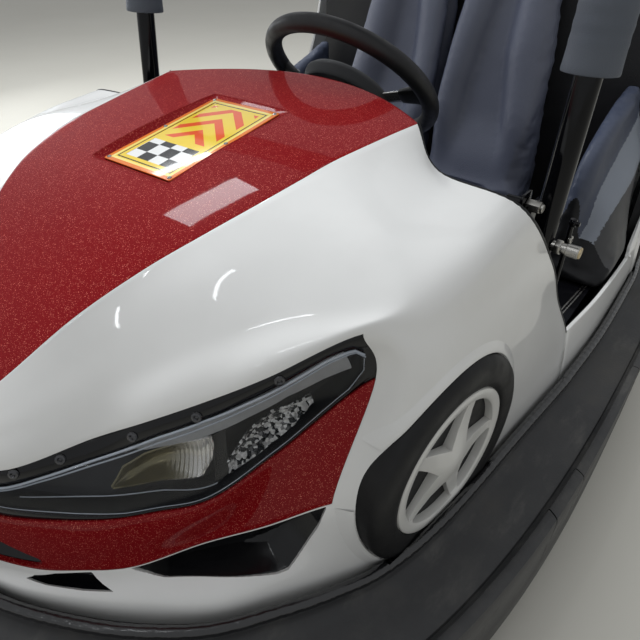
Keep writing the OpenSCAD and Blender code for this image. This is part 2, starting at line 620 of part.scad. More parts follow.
// Along the drive wheel's axle, from x = -half
module across(half) translate([-half, -drive_y, drive_r]) rotate([0, 90, 0]) children();
module drive_axle() color([0.6, 0.6, 0.62]) across(fork_in + 15) cylinder(r = axle_r, h = 2 * fork_in + 30);
module drive_hub() color([0.6, 0.6, 0.6]) across(drive_tyre_w / 2) difference() {
  cylinder(r = hub_out_r, h = drive_tyre_w);
  translate([0, 0, -1]) cylinder(r = axle_r, h = drive_tyre_w + 2);
}
module drive_tyre() color([0.1, 0.1, 0.1]) across(drive_tyre_w / 2) difference() {
  cylinder(r = drive_r, h = drive_tyre_w);
  translate([0, 0, -1]) cylinder(r = hub_out_r, h = drive_tyre_w + 2);
}
stub = 24;
module rear_wheel() translate([rear_track_half - rear_w / 2, rear_y, rear_r]) rotate([0, 90, 0]) {
  cylinder(r = rear_r, h = rear_w);
  translate([0, 0, -stub]) cylinder(r = axle_r, h = rear_w + 2 * stub);
}
module rear_wheel_left() color([0.1, 0.1, 0.1]) rear_wheel();
module rear_wheel_right() color([0.1, 0.1, 0.1]) mirror([1, 0, 0]) rear_wheel();

// Safety hoop
bend_r = 75;
heel = 24;
foam_gap = 10;
module at_hoop() translate([0, pivot.y, pivot.z]) rotate([-hoop_lean, 0, 0]) children();
hoop_h = (hoop_top - foam_r - pivot.z) / cos(hoop_lean);
module hoop_tube() color([0.05, 0.05, 0.05]) at_hoop() {
  both_sides() {
    difference() {
      translate([post_half, 0, -heel]) cylinder(r = post_r, h = hoop_h - bend_r + heel);
      translate([post_half - 2 * post_r, 0, 0]) rotate([0, 90, 0]) cylinder(r = pin_r + fit, h = 4 * post_r);
    }
    translate([post_half - bend_r, 0, hoop_h - bend_r]) rotate([90, 0, 0])
      rotate_extrude(angle = 90) translate([bend_r, 0]) circle(r = post_r, $fn = 32);
  }
  translate([-post_half + bend_r, 0, hoop_h]) rotate([0, 90, 0])
    cylinder(r = post_r, h = 2 * (post_half - bend_r));
}
module hoop_foam() color([0.1, 0.1, 0.11]) at_hoop() {
  both_sides() translate([post_half, 0, (foam_low - pivot.z) / cos(hoop_lean)]) difference() {
    cylinder(r = foam_r, h = hoop_h - bend_r - (foam_low - pivot.z) - 4);
    translate([0, 0, -1]) cylinder(r = post_r + gap, h = hoop_h);
  }
  translate([-post_half + bend_r + foam_gap, 0, hoop_h]) rotate([0, 90, 0]) difference() {
    cylinder(r = foam_r, h = 2 * (post_half - bend_r - foam_gap));
    translate([0, 0, -1]) cylinder(r = post_r + gap, h = 2 * post_half);
  }
}

chassis();
bumper_ring();
welt();
front_shell();
hood_panel();
hood_plate();
nose_band();
lamp_lens_left();
lamp_lens_right();
lamp_bowls();
nose_vents();
rear_shell();
tail_lamps();
dummy_tyres();
dummy_rims();
dash();
bulkhead();
floor_mat();
side_ledges();
seat_base();
rear_panel();
battery_pack();
seat_left();
seat_right();
wing_left();
wing_right();
column_tube();
steering_gearbox();
drive_mount();
foot_pedal();
rear_brackets();
hoop_brackets();
steering_rim();
steering_hub();
steering_shaft();
drive_fork();
drive_motor();
drive_axle();
drive_hub();
drive_tyre();
rear_wheel_left();
rear_wheel_right();
hoop_tube();
hoop_foam();
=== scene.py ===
from math import cos, pi, radians, sin, sqrt, tan

import bmesh
import bpy
import numpy as np
from mathutils import Matrix, Vector
from mathutils.bvhtree import BVHTree


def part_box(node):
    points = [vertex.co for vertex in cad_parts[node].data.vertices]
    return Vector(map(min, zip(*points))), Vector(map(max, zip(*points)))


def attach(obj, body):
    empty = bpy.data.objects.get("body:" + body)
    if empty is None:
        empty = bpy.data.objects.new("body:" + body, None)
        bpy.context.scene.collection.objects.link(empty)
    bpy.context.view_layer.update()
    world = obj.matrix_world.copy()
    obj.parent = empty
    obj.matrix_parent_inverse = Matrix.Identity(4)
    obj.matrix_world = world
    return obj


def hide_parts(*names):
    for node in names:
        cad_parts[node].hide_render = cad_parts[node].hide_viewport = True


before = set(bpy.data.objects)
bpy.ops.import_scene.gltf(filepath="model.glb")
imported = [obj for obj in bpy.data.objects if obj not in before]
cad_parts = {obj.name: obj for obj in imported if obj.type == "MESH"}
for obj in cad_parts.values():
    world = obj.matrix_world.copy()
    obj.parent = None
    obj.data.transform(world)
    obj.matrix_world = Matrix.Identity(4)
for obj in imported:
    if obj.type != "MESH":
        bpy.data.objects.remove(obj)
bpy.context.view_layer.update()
scene = bpy.context.scene
scene.view_settings.view_transform = "Standard"

# Camera: the photograph's own place and angle, low over the nose's left side.
# Its height and turn come from the wheel's circle, the plate's corners and the steering wheel.
eye = (0.6082, -0.8940, 0.9272)
eye_turn, eye_dip = radians(37.61), radians(36.18)
camera = bpy.data.objects.new("camera", bpy.data.cameras.new("camera"))
camera.data.lens, camera.data.sensor_width, camera.data.clip_start = 31.505, 36.0, 0.02
camera.location, camera.rotation_euler = eye, (pi / 2 - eye_dip, 0, eye_turn)
scene.collection.objects.link(camera)
scene.camera = camera


# Floor, world and lamps of the studio: a pale floor, an even pale surround and soft boxes overhead.
# The long boxes lie along the car, so that gloss panels carry long soft reflections.
class Term:
    """An output of a shader node. Sums and products of terms add the Math nodes they need."""

    def __init__(self, finish, socket):
        self.finish, self.socket = finish, socket

    def maths(self, operation, *others):
        return self.finish.add("Math", {"operation": operation}, dict(enumerate((self, *others))))

    def __add__(self, other):
        return self.maths("ADD", other)

    def __rsub__(self, other):
        return self.finish.add("Math", {"operation": "SUBTRACT"}, {0: other, 1: self})

    def __mul__(self, other):
        return self.maths("MULTIPLY", other)

    def ramp(self, low, high, start=0.0, end=1.0):
        """start below low, end above high, and a smooth step between."""
        inputs = {0: self, 1: low, 2: high, 3: start, 4: end}
        return self.finish.add("MapRange", {"interpolation_type": "SMOOTHSTEP"}, inputs)


class Finish:
    """A procedural material: a Principled shader whose sockets take numbers, colours or terms."""

    def __init__(self, name, **sockets):
        self.material = bpy.data.materials.new(name)
        self.material.use_nodes = True
        self.tree = self.material.node_tree
        self.shader = self.tree.nodes["Principled BSDF"]
        self.place = self.add("TexCoord", out="Object")
        self.set(**sockets)

    def join(self, socket, value):
        if isinstance(value, Term):
            self.tree.links.new(value.socket, socket)
        elif isinstance(value, (tuple, list)) and socket.type == "RGBA":
            socket.default_value = (*value[:3], 1.0)
        else:
            socket.default_value = value

    def set(self, **sockets):
        for name, value in sockets.items():
            self.join(self.shader.inputs[name.replace("_", " ")], value)

    def add(self, kind, settings=None, inputs=None, out=0):
        node = self.tree.nodes.new("ShaderNode" + kind)
        for key, value in (settings or {}).items():
            setattr(node, key, value)
        for key, value in (inputs or {}).items():
            self.join(node.inputs[key], value)
        return Term(self, node.outputs[out])

    def noise(self, scale, detail=3.0, rough=0.55, place=None):
        inputs = {"Vector": place or self.place, "Scale": scale, "Detail": detail,
                  "Roughness": rough}
        return self.add("TexNoise", None, inputs)

    def cells(self, scale, out="Distance"):
        return self.add("TexVoronoi", None, {"Vector": self.place, "Scale": scale}, out)

    def mix(self, share, low, high):
        return self.add("Mix", {"data_type": "RGBA"}, {0: share, 6: low, 7: high}, 2)

    def bump(self, height, distance, strength=1.0):
        inputs = {"Height": height, "Distance": distance, "Strength": strength}
        self.set(Normal=self.add("Bump", None, inputs))

    def matt(self, scale, smooth, rough, detail=3.0, low=0.3, high=0.7):
        """An uneven surface: roughness wanders between two values."""
        self.set(Roughness=self.noise(scale, detail).ramp(low, high, smooth, rough))

    def two_tone(self, scale, low, high, detail=3.0):
        """Colour wanders between two tones."""
        self.set(Base_Color=self.mix(self.noise(scale, detail), low, high))


def mesh_piece(name, points, faces, finish, smooth=True):
    """A mesh object at the origin from points and faces, with one finish."""
    mesh = bpy.data.meshes.new(name)
    mesh.from_pydata([tuple(p) for p in points], [], [tuple(f) for f in faces])
    mesh.polygons.foreach_set("use_smooth", [smooth] * len(mesh.polygons))
    mesh.set_sharp_from_angle(angle=radians(38))
    mesh.materials.append(finish.material)
    piece = bpy.data.objects.new(name, mesh)
    scene.collection.objects.link(piece)
    return piece


stage_half = 9.0
floor_paint = Finish("floor_paint", Roughness=0.7)
floor_paint.two_tone(1.6, (0.55, 0.53, 0.47), (0.60, 0.58, 0.52))
square = ((-1, -1), (1, -1), (1, 1), (-1, 1))
mesh_piece("floor", [(sx * stage_half, sy * stage_half, 0) for sx, sy in square],
                    [(0, 1, 2, 3)], floor_paint)
world = bpy.data.worlds.new("studio")
world.use_nodes = True
surround = world.node_tree.nodes["Background"].inputs
surround["Color"].default_value, surround["Strength"].default_value = (0.86, 0.88, 0.90, 1), 0.50
scene.world = world


def soft_box(name, place, target, size, power, mirrored_in_gloss=True):
    lamp = bpy.data.objects.new(name, bpy.data.lights.new(name, "AREA"))
    lamp.data.shape, lamp.data.size, lamp.data.size_y, lamp.data.energy = "RECTANGLE", *size, power
    lamp.data.color = (0.94, 0.97, 1.0)
    lamp.location = place
    lamp.rotation_euler = (Vector(target) - Vector(place)).to_track_quat("-Z", "Y").to_euler()
    lamp.visible_glossy = mirrored_in_gloss
    scene.collection.objects.link(lamp)


soft_box("roof_box", (-0.8, 1.2, 4.4), (0, 0, 0.4), (5.0, 4.0), 100, False)
soft_box("key_box", (-2.8, -0.4, 3.2), (0.1, 0.1, 0.5), (2.2, 2.2), 74, False)
soft_box("seat_box", (-3.2, 0.3, 1.0), (0.2, 0.4, 0.7), (1.2, 0.8), 12)
soft_box("window_patch", (-2.24, 0.62, 3.2), (-0.3, 0.62, 0.6), (1.3, 0.26), 15)
soft_box("tube_near", (-0.12, -3.95, 3.2), (-0.12, -3.95, 0), (0.05, 0.9), 3)
soft_box("tube_far", (-0.22, -1.75, 3.2), (-0.22, -1.75, 0), (0.05, 1.2), 3)


# Body mouldings: glass-fibre shells in white gelcoat, laid up in a front and a rear half, about
# 6 mm thick, and screwed to the pan's rim. Each row below is a meridian of the outer face, from
# foot to top.
class Skin:
    """A smooth surface through rows of points, read at any row i, column j and depth."""

    def __init__(self, rows):
        grid = np.array(rows, float)
        grid = np.concatenate([2 * grid[:1] - grid[1:2], grid, 2 * grid[-1:] - grid[-2:-1]])
        self.grid = np.concatenate(
            [2 * grid[:, :1] - grid[:, 1:2], grid, 2 * grid[:, -1:] - grid[:, -2:-1]], axis=1)
        self.rows, self.columns = len(self.grid) - 3, self.grid.shape[1] - 3

    def face(self, i, j):
        def weights(t):
            return 0.5 * np.array([-t + 2 * t**2 - t**3, 2 - 5 * t**2 + 3 * t**3,
                                   t + 4 * t**2 - 3 * t**3, -t**2 + t**3])

        a = np.clip(np.floor(i), 0, self.rows - 1).astype(int)
        b = np.clip(np.floor(j), 0, self.columns - 1).astype(int)
        wa, wb = weights(i - a), weights(j - b)
        return sum((wa[k] * wb[m])[..., None] * self.grid[a + k, b + m]
                   for k in range(4) for m in range(4))

    def at(self, i, j, depth=0.0):
        """Points at depth below the face, with the face's inward normals."""
        i, j = np.broadcast_arrays(np.asarray(i, float), np.asarray(j, float))
        step = 0.02
        along = self.face(i + step, j) - self.face(i - step, j)
        up = self.face(i, j + step) - self.face(i, j - step)
        inward = np.cross(up, along)
        inward /= np.linalg.norm(inward, axis=-1, keepdims=True)
        return self.face(i, j) + inward * np.asarray(depth)[..., None], inward


def grid_faces(rows, columns, kept=None, ring=False):
    """Quads of a grid of points, wound outwards for a Skin; ring closes it along its rows."""
    cells = [(i, j) for i in range(rows if ring else rows - 1) for j in range(columns - 1)]
    return [(i * columns + j, (i + 1) % rows * columns + j, (i + 1) % rows * columns + j + 1,
             i * columns + j + 1) for i, j in cells if kept is None or kept(i, j)]


def finished_mesh(piece):
    """A plain mesh of the piece with its modifiers applied."""
    return bpy.data.meshes.new_from_object(
        piece.evaluated_get(bpy.context.evaluated_depsgraph_get()))


def refine(piece, *modifiers):
    """Adds modifiers, each (type, settings), and turns the result into a plain mesh."""
    for kind, settings in modifiers:
        modifier = piece.modifiers.new(kind.lower(), kind)
        for key, value in settings.items():
            setattr(modifier, key, value)
    done = finished_mesh(piece)
    piece.modifiers.clear()
    piece.data = done
    done.set_sharp_from_angle(angle=radians(38))
    return piece


def thick(depth):
    """Settings of a sheet's thickness, laid inwards."""
    return "SOLIDIFY", {"thickness": depth, "offset": -1.0}


def eased(width, limit, segments=2):
    """Settings of rounded edges wherever faces meet at more than the limit, in degrees."""
    return "BEVEL", {"width": width, "segments": segments, "limit_method": "ANGLE",
                     "angle_limit": radians(limit)}


def carve(piece, tool, solver="EXACT"):
    """Takes the tool's volume out of the piece."""
    return refine(piece, ("BOOLEAN", {"object": tool, "operation": "DIFFERENCE", "solver": solver}))


def fasten(piece, slot, *nodes, body="root"):
    """The piece rides on a body and stands for these nodes; the slot is not used."""
    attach(piece, body)
    if nodes:
        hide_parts(*nodes)
    return piece


# Columns: foot, chin lip, vent top, lamp bottom, lamp top, crest, bevel, seam. Millimetres.
FRONT = [
    [[40, -857, 250], [40, -856, 278], [40, -848, 306], [40, -834, 388],
     [40, -812, 452], [40, -803, 470], [40, -796, 483], [40, -788, 496]],
    [[110, -840, 250], [110, -838, 280], [118, -818, 303], [108, -816, 390],
     [114, -797, 456], [104, -780, 490], [92, -768, 510], [78, -754, 530]],
    [[190, -802, 250], [188, -799, 283], [176, -784, 312], [197, -759, 396],
     [174, -721, 479], [157, -705, 520], [136, -690, 553], [115, -677, 583]],
    [[255, -762, 250], [252, -757, 285], [226, -745, 320], [245, -712, 400],
     [222, -687, 505], [205, -655, 550], [180, -628, 592], [152, -607, 622]],
    [[316, -712, 250], [312, -706, 288], [273, -681, 332], [288, -668, 412],
     [272, -646, 532], [258, -605, 583], [226, -572, 622], [183, -545, 648]],
    [[364, -648, 250], [360, -642, 293], [324, -629, 350], [325, -598, 450],
     [322, -605, 563], [318, -550, 606], [280, -505, 640], [204, -475, 666]],
    [[402, -590, 250], [400, -586, 300], [384, -581, 390], [393, -521, 540],
     [382, -532, 600], [384, -500, 617], [328, -455, 650], [214, -420, 676]],
    [[432, -530, 250], [433, -530, 310], [436, -535, 400], [430, -500, 520],
     [420, -480, 580], [404, -455, 622], [342, -415, 652], [220, -370, 683]],
    [[455, -427, 250], [457, -427, 320], [458, -425, 400], [452, -410, 500],
     [440, -395, 568], [421, -370, 634], [332, -360, 656], [228, -325, 688]],
    [[474, -235, 250], [474, -235, 320], [470, -225, 395], [458, -230, 490],
     [448, -245, 560], [421, -300, 642], [325, -295, 657], [240, -262, 694]],
    [[494, -60, 250], [489, -55, 300], [479, -45, 352], [462, -100, 440],
     [452, -160, 530], [421, -262, 645], [305, -250, 657], [250, -214, 698]]]
# Columns: foot, low, belt, mid, high, crest, deck edge. Millimetres.
REAR = [
    [[494, -54, 250], [489, -49, 300], [479, -39, 352], [478, -35, 356], [477, -31, 360],
     [476, -27, 364], [475, -23, 368]],
    [[503, 100, 250], [500, 100, 300], [492, 100, 352], [491, 104, 356], [490, 108, 360],
     [489, 112, 364], [488, 116, 368]],
    [[503, 280, 250], [502, 280, 300], [497, 282, 352], [496, 286, 356], [495, 290, 360],
     [494, 294, 364], [493, 298, 370]],
    [[498, 400, 250], [498, 400, 310], [496, 402, 370], [491, 412, 440], [486, 424, 500],
     [478, 434, 550], [462, 440, 596]],
    [[467, 570, 250], [467, 570, 315], [464, 568, 380], [458, 565, 470], [449, 560, 560],
     [432, 545, 660], [424, 478, 826]],
    [[402, 700, 250], [401, 698, 320], [396, 690, 390], [388, 680, 480], [374, 665, 570],
     [352, 640, 668], [345, 480, 862]],
    [[298, 790, 250], [297, 787, 325], [292, 778, 395], [284, 765, 485], [270, 745, 575],
     [252, 715, 678], [250, 480, 870]],
    [[158, 846, 250], [157, 843, 328], [154, 833, 400], [149, 819, 490], [142, 799, 580],
     [131, 766, 690], [130, 480, 872]],
    [[0, 862, 250], [0, 859, 330], [0, 849, 400], [0, 835, 490], [0, 813, 580],
     [0, 781, 695], [0, 480, 872]]]
MM = 0.001
FLIP = np.array([-1.0, 1.0, 1.0])
front_rows, rear_rows = np.array(FRONT) * MM, np.array(REAR) * MM
# Rows of the whole front run from the right side over the nose to the left side.
nose = Skin(np.concatenate([(front_rows * FLIP)[::-1], front_rows]))
tail = Skin(np.concatenate([rear_rows, (rear_rows[:-1] * FLIP)[::-1]]))
middle_cell = len(FRONT) - 1
wall = 0.006


def skin_piece(name, skin, finish, i_range, j_range, kept, steps=10):
    """A moulded panel: the kept cells of a skin, as thick as the wall, its edges eased."""
    i = np.arange(i_range[0] * steps, i_range[1] * steps + 1) / steps
    j = np.arange(j_range[0] * steps, j_range[1] * steps + 1) / steps
    points, _ = skin.at(i[:, None], j[None, :])
    faces = grid_faces(len(i), len(j), lambda a, b: kept(int(i[a]), int(j[b])))
    piece = mesh_piece(name, points.reshape(-1, 3), faces, finish)
    drop = bmesh.new()
    drop.from_mesh(piece.data)
    bmesh.ops.delete(drop, geom=[v for v in drop.verts if not v.link_faces], context="VERTS")
    drop.to_mesh(piece.data)
    return refine(piece, thick(wall), eased(0.0012, 50))


def side_cell(i):
    """Number of a cell of the front counted outwards from the middle strip, which is -1."""
    return abs(i - middle_cell) - 1


def is_lamp(i, j):
    return j == 3 and 0 <= side_cell(i) < 6


def is_band(i, j):
    return j == 2 and 0 <= side_cell(i) < 6


def is_tail_lamp(i, j):
    return j == 3 and i in (5, 10)


pearl = Finish("pearl_white", Roughness=0.36, Coat_Weight=0.8, Coat_Roughness=0.035)
pearl.set(Base_Color=pearl.mix(pearl.noise(7.0, 4.0).ramp(0.3, 0.7),
                                (0.74, 0.735, 0.715), (0.79, 0.785, 0.765)))

arch_front, arch_rear = Vector((0.457, -0.427, 0.369)), Vector((0.486, 0.500, 0.369))
toe_front, toe_rear = radians(-8), radians(9)
tyre_r, tyre_gap, rim_top = 0.147, 0.0003, 0.250


def arch_places():
    """Each arch: its matrix, whose X axis points out of the body."""
    for centre, toe in ((arch_front, toe_front), (arch_rear, toe_rear)):
        yield Matrix.Translation(centre) @ Matrix.Rotation(toe, 4, "Z")
        flipped = Vector((-centre.x, centre.y, centre.z))
        yield Matrix.Translation(flipped) @ Matrix.Rotation(pi - toe, 4, "Z")


def cut_arches(piece, out=0.10):
    """Cuts the wheel arches; out is how far the cut reaches beyond the tyre's face."""
    cutter = bmesh.new()
    for place in arch_places():
        shift = Matrix.Translation(((out - 0.04) / 2, 0, 0))
        turn = place @ shift @ Matrix.Rotation(pi / 2, 4, "Y")
        bmesh.ops.create_cone(cutter, cap_ends=True, segments=128, radius1=tyre_r + tyre_gap,
                              radius2=tyre_r + tyre_gap, depth=out + 0.04, matrix=turn)
    tool = bpy.data.objects.new("arch_tool", bpy.data.meshes.new("arch_tool"))
    cutter.to_mesh(tool.data)
    scene.collection.objects.link(tool)
    carve(piece, tool)
    bpy.data.objects.remove(tool)
    return piece


front_white = skin_piece(
    "front_shell_moulding", nose, pearl, (0, nose.rows), (0, 7),
    lambda i, j: not (is_lamp(i, j) or is_band(i, j) or (side_cell(i) < 0 and j > 0)))
rear_white = skin_piece(
    "rear_shell_moulding", tail, pearl, (0, tail.rows), (0, 6),
    lambda i, j: (2 <= i < tail.rows - 2 or j < 2) and not is_tail_lamp(i, j))
for shell, node in ((front_white, "front_shell"), (rear_white, "rear_shell")):
    fasten(cut_arches(shell), "pearl_white", node)


# Hood panel: a separate moulding in red metal-flake gelcoat under clear coat, let into the white
# shell along a fine joint, with a bevelled pocket for the number plate.
flake = Finish("flake_red", Roughness=0.55, Metallic=0.12, Specular_IOR_Level=0.05,
               Coat_Weight=0.32, Coat_Roughness=0.03)
# Metal flakes: each flake's bump is real. A few flakes painted near-white orange in the base colour
# stand in for their glints: painted highlight.
glitter = flake.add("SeparateColor", None, {0: flake.cells(1900.0, out="Color")}, 0)
painted_sparkle = glitter.ramp(0.945, 0.998)
deep = flake.mix(flake.noise(5.0), (0.20, 0.0014, 0.0036), (0.26, 0.0022, 0.0055))
flake.set(Base_Color=flake.mix(painted_sparkle, deep, (1.0, 0.30, 0.22)))
flake.bump(glitter, 0.0005, 0.40)

hood_crown, hood_bulge = 0.010, 0.092
seam_rows = front_rows[:, -1]
seam_steps, hood_across = 10, 64
seam_line = Skin(np.stack([front_rows[:, -2], front_rows[:, -1]], axis=1))


def hood_points(k, i):
    """Points of the hood's face: k from -1 to 1 across, i along the seam from nose to cockpit."""
    seam = seam_line.face(np.asarray(i, float), np.ones_like(i, dtype=float))
    share = i / (len(FRONT) - 1)
    round_off = 1 - k**2
    x = k * seam[..., 0]
    y = seam[..., 1] + share**2 * hood_bulge * round_off
    z = seam[..., 2] + hood_crown * round_off * np.minimum(1, i / 3)
    return np.stack([x, y, z], axis=-1)


k = np.linspace(1, -1, hood_across + 1)[:, None]
i = np.linspace(len(FRONT) - 1, 0, (len(FRONT) - 1) * seam_steps + 1)[None, :]
k, i = np.broadcast_arrays(k, i)
hood = mesh_piece("hood_moulding", hood_points(k, i).reshape(-1, 3), grid_faces(*k.shape), flake)
refine(hood, thick(wall), eased(0.0012, 50))
nose_strip = skin_piece("nose_strip", nose, flake, (middle_cell, middle_cell + 1), (1, 7),
                        lambda i, j: True)
band = skin_piece("nose_band_moulding", nose, flake, (0, nose.rows), (2, 3), is_band)
fasten(band, "flake_red", "nose_band")


# Number plate and its pocket: a printed acrylic plate in a pocket with sloping walls, moulded in
# one with the hood. Printed borders with a plain chevron design, held by round-headed screws.
plate_half, plate_long, plate_sheet, plate_lift = 0.066, 0.105, 0.002, 0.0003
plate_place = Matrix.Translation((0, -0.387, 0.676)) @ Matrix.Rotation(radians(9), 4, "X")


def tree_of(piece):
    return BVHTree.FromObject(piece, bpy.context.evaluated_depsgraph_get())


def rounded(half_x, half_y, radius, steps=8, spacing=None):
    """Points round a rectangle with rounded corners, counterclockwise; spacing fills the sides."""
    points = []
    for quarter, (sx, sy) in enumerate(((1, 1), (-1, 1), (-1, -1), (1, -1))):
        for step in range(steps + 1):
            a = (quarter + step / steps) * pi / 2
            points.append((sx * (half_x - radius) + radius * cos(a),
                           sy * (half_y - radius) + radius * sin(a)))
    if not spacing:
        return points
    filled = []
    for a, b in zip(points, points[1:] + points[:1]):
        count = max(1, int(sqrt((a[0] - b[0])**2 + (a[1] - b[1])**2) / spacing))
        filled += [(a[0] + (b[0] - a[0]) * n / count, a[1] + (b[1] - a[1]) * n / count)
                   for n in range(count)]
    return filled


def prism(name, outline, place, low, high, finish, edge=0.0005):
    """A flat piece: an outline in the place's X and Y, from low to high, with eased edges."""
    count = len(outline)
    points = [place @ Vector((x, y, z)) for z in (low, high) for x, y in outline]
    faces = [(n, (n + 1) % count, count + (n + 1) % count, count + n) for n in range(count)]
    faces += [tuple(range(count))[::-1], tuple(range(count, 2 * count))]
    piece = mesh_piece(name, points, faces, finish)
    return refine(piece, eased(edge, 40)) if edge else piece


def loft(name, loops, finish, cap=True, closed=False):
    """A skin through loops of equal length, with end caps or closed on itself."""
    count, rows = len(loops[0]), len(loops)
    points = [p for loop in loops for p in loop]
    faces = []
    for a in range(rows if closed else rows - 1):
        b = (a + 1) % rows
        faces += [(a * count + n, a * count + (n + 1) % count, b * count + (n + 1) % count,
                   b * count + n)
                  for n in range(count)]
    if cap and not closed:
        faces += [tuple(range(count))[::-1], tuple(range((rows - 1) * count, rows * count))]
    return mesh_piece(name, points, faces, finish)


def lathe(name, profile, place, finish, segments=96):
    """A turned piece about the place's Z axis: profile of (radius, height) from end to end."""
    loops = [[place @ Vector((r * cos(2 * pi * n / segments), r * sin(2 * pi * n / segments), z))
              for n in range(segments)] for r, z in profile]
    closed = profile[0][0] > 1e-6 or profile[-1][0] > 1e-6
    piece = loft(name, loops, finish, cap=False, closed=closed)
    clean = bmesh.new()
    clean.from_mesh(piece.data)
    bmesh.ops.remove_doubles(clean, verts=clean.verts, dist=1e-6)
    clean.to_mesh(piece.data)
    piece.data.set_sharp_from_angle(angle=radians(38))
    return piece


pocket_edge, pocket_round = 0.011, 0.007
pocket_x, pocket_y = plate_half + pocket_edge, plate_long + pocket_edge
hood_tree = tree_of(hood)
drop = plate_place.to_3x3() @ Vector((0, 0, -1))
pocket_tool = prism("pocket_tool", rounded(pocket_x, pocket_y, pocket_round),
                    plate_place, -0.03, 0.06, flake, edge=0)
carve(hood, pocket_tool)
bpy.data.objects.remove(pocket_tool)
pocket_rows = []
for grow, drop_by in ((0.0015, 0.0004), (0, -0.0004), (-0.0015, -0.0016)):
    row = rounded(pocket_x + grow, pocket_y + grow, pocket_round + grow, spacing=0.01)
    hits = [hood_tree.ray_cast(plate_place @ Vector((x, y, 0.1)), drop)[0] for x, y in row]
    pocket_rows.append([hit - drop * drop_by for hit in hits])
ring = rounded(pocket_x, pocket_y, pocket_round, spacing=0.01)
for grow, high in ((0.0025, 0.0012), (0.0012, 0.0002), (0.0012, -0.004)):
    scale_x, scale_y = (plate_half + grow) / pocket_x, (plate_long + grow) / pocket_y
    pocket_rows.append([plate_place @ Vector((x * scale_x, y * scale_y, high)) for x, y in ring])
count = min(len(row) for row in pocket_rows)
pocket_rows = [[row[int(n * len(row) / count)] for n in range(count)] for row in pocket_rows]
pocket = loft("plate_pocket", pocket_rows[::-1], flake, cap=False)
for part in (hood, nose_strip, pocket):
    fasten(part, "flake_red", "hood_panel")

printed = Finish("plate_print", Roughness=0.22, Coat_Weight=0.6, Coat_Roughness=0.04)
plate_u = printed.add("SeparateXYZ", None, {0: printed.add("TexCoord", out="UV")}, 0)
plate_v = Term(printed, plate_u.socket.node.outputs[1])
from_side = plate_half - plate_u.maths("ABSOLUTE")
from_end = plate_long - plate_v.maths("ABSOLUTE")
inset = from_side.maths("MINIMUM", from_end)
in_field = inset.maths("GREATER_THAN", 0.021)
stripes = ((plate_v + plate_u.maths("ABSOLUTE") * 0.9) * 26.0).maths("FRACT")
chevron = stripes.maths("LESS_THAN", 0.42)
check_u, check_v = ((way * 45.0).maths("FLOOR") for way in (plate_u, plate_v))
chequer = ((check_u + check_v) * 0.5).maths("FRACT").maths("GREATER_THAN", 0.25)
colour = printed.mix(printed.noise(30.0), (0.86, 0.60, 0.035), (0.90, 0.66, 0.05))
for share, ink in ((chevron * in_field * plate_v.maths("GREATER_THAN", -0.02), (0.80, 0.10, 0.015)),
                   (in_field * plate_v.maths("LESS_THAN", -0.033),
                    printed.mix(chequer, (0.86, 0.86, 0.84), (0.02, 0.02, 0.02))),
                   (inset.maths("LESS_THAN", 0.0105), (0.92, 0.78, 0.22)),
                   (inset.maths("COMPARE", 0.0135, 0.0011), (0.03, 0.02, 0.01)),
                   (inset.maths("LESS_THAN", 0.0065), (0.85, 0.22, 0.03))):
    colour = printed.mix(share, colour, ink)
printed.set(Base_Color=colour)
plate = prism("number_plate", rounded(plate_half, plate_long, 0.003), plate_place,
              plate_lift, plate_lift + plate_sheet, printed)
uv = plate.data.uv_layers.new(name="flat")
back = plate_place.inverted()
for loop in plate.data.loops:
    local = back @ plate.data.vertices[loop.vertex_index].co
    uv.data[loop.index].uv = (local.x, local.y)
fasten(plate, "plate_yellow", "hood_plate")
steel = Finish("bright_steel", Metallic=1.0, Base_Color=(0.62, 0.61, 0.59))
steel.matt(45.0, 0.14, 0.30, 4.0, high=0.8)
for n, (sx, sy) in enumerate(((-1, -1), (1, -1), (1, 1), (-1, 1), (-1, 0), (1, 0))):
    seat = plate_place @ Matrix.Translation((sx * (plate_half - 0.0052), sy * (plate_long - 0.0052),
                                             plate_lift + plate_sheet))
    head = lathe(f"plate_screw_{n}", ((0, 0.0012), (0.0006, 0.0007), (0.0015, 0.0013),
                                      (0.0028, 0.0008), (0.0031, 0.0), (0.0, -0.0004)), seat, steel,
                 24)
    fasten(head, "bright_steel")


# Lamps: a gloss-black housing with a screwed upper flange fills each lamp opening. A clear moulded
# lens with a thick rib covers it, over a grey light strip, a fluted bowl and a faceted one. Pale
# lines along the rib and the lens's edges are painted highlight.
gloss_black = Finish("gloss_black_moulding", Base_Color=(0.004, 0.004, 0.005),
                     Specular_IOR_Level=0.4)
gloss_black.matt(40.0, 0.12, 0.24, high=0.8)
lens_clear = Finish("lens_clear", Base_Color=(0.02, 0.022, 0.026), Alpha=0.13, IOR=1.9,
                    Roughness=0.03)
# Pale, half-clear colour for the lines along the lens's rib, edge and ledge: painted highlight on
# clear plastic.
lens_edge = Finish("lens_edge", Base_Color=(0.55, 0.60, 0.68), Alpha=0.55, IOR=1.8, Roughness=0.10)
strip_grey = Finish("light_strip", Roughness=0.25)
strip_grey.two_tone(60.0, (0.34, 0.35, 0.37), (0.50, 0.51, 0.52))
chrome_bowl = Finish("chrome_bowl", Metallic=0.75, Roughness=0.22)
# The bowl's colour runs from a dark yellowish tone to near white along its length: painted
# reflection in the chrome.
bowl_share = chrome_bowl.add("Attribute", {"attribute_name": "along"}, None, 2)
bowl_low = chrome_bowl.mix(chrome_bowl.noise(30.0, 4.0), (0.12, 0.115, 0.09), (0.34, 0.30, 0.16))
chrome_bowl.set(Base_Color=chrome_bowl.mix(bowl_share.ramp(0.45, 0.95), bowl_low,
                                           (0.95, 0.94, 0.92)))
chrome_facet = Finish("chrome_facets", Metallic=0.3, Roughness=0.16)
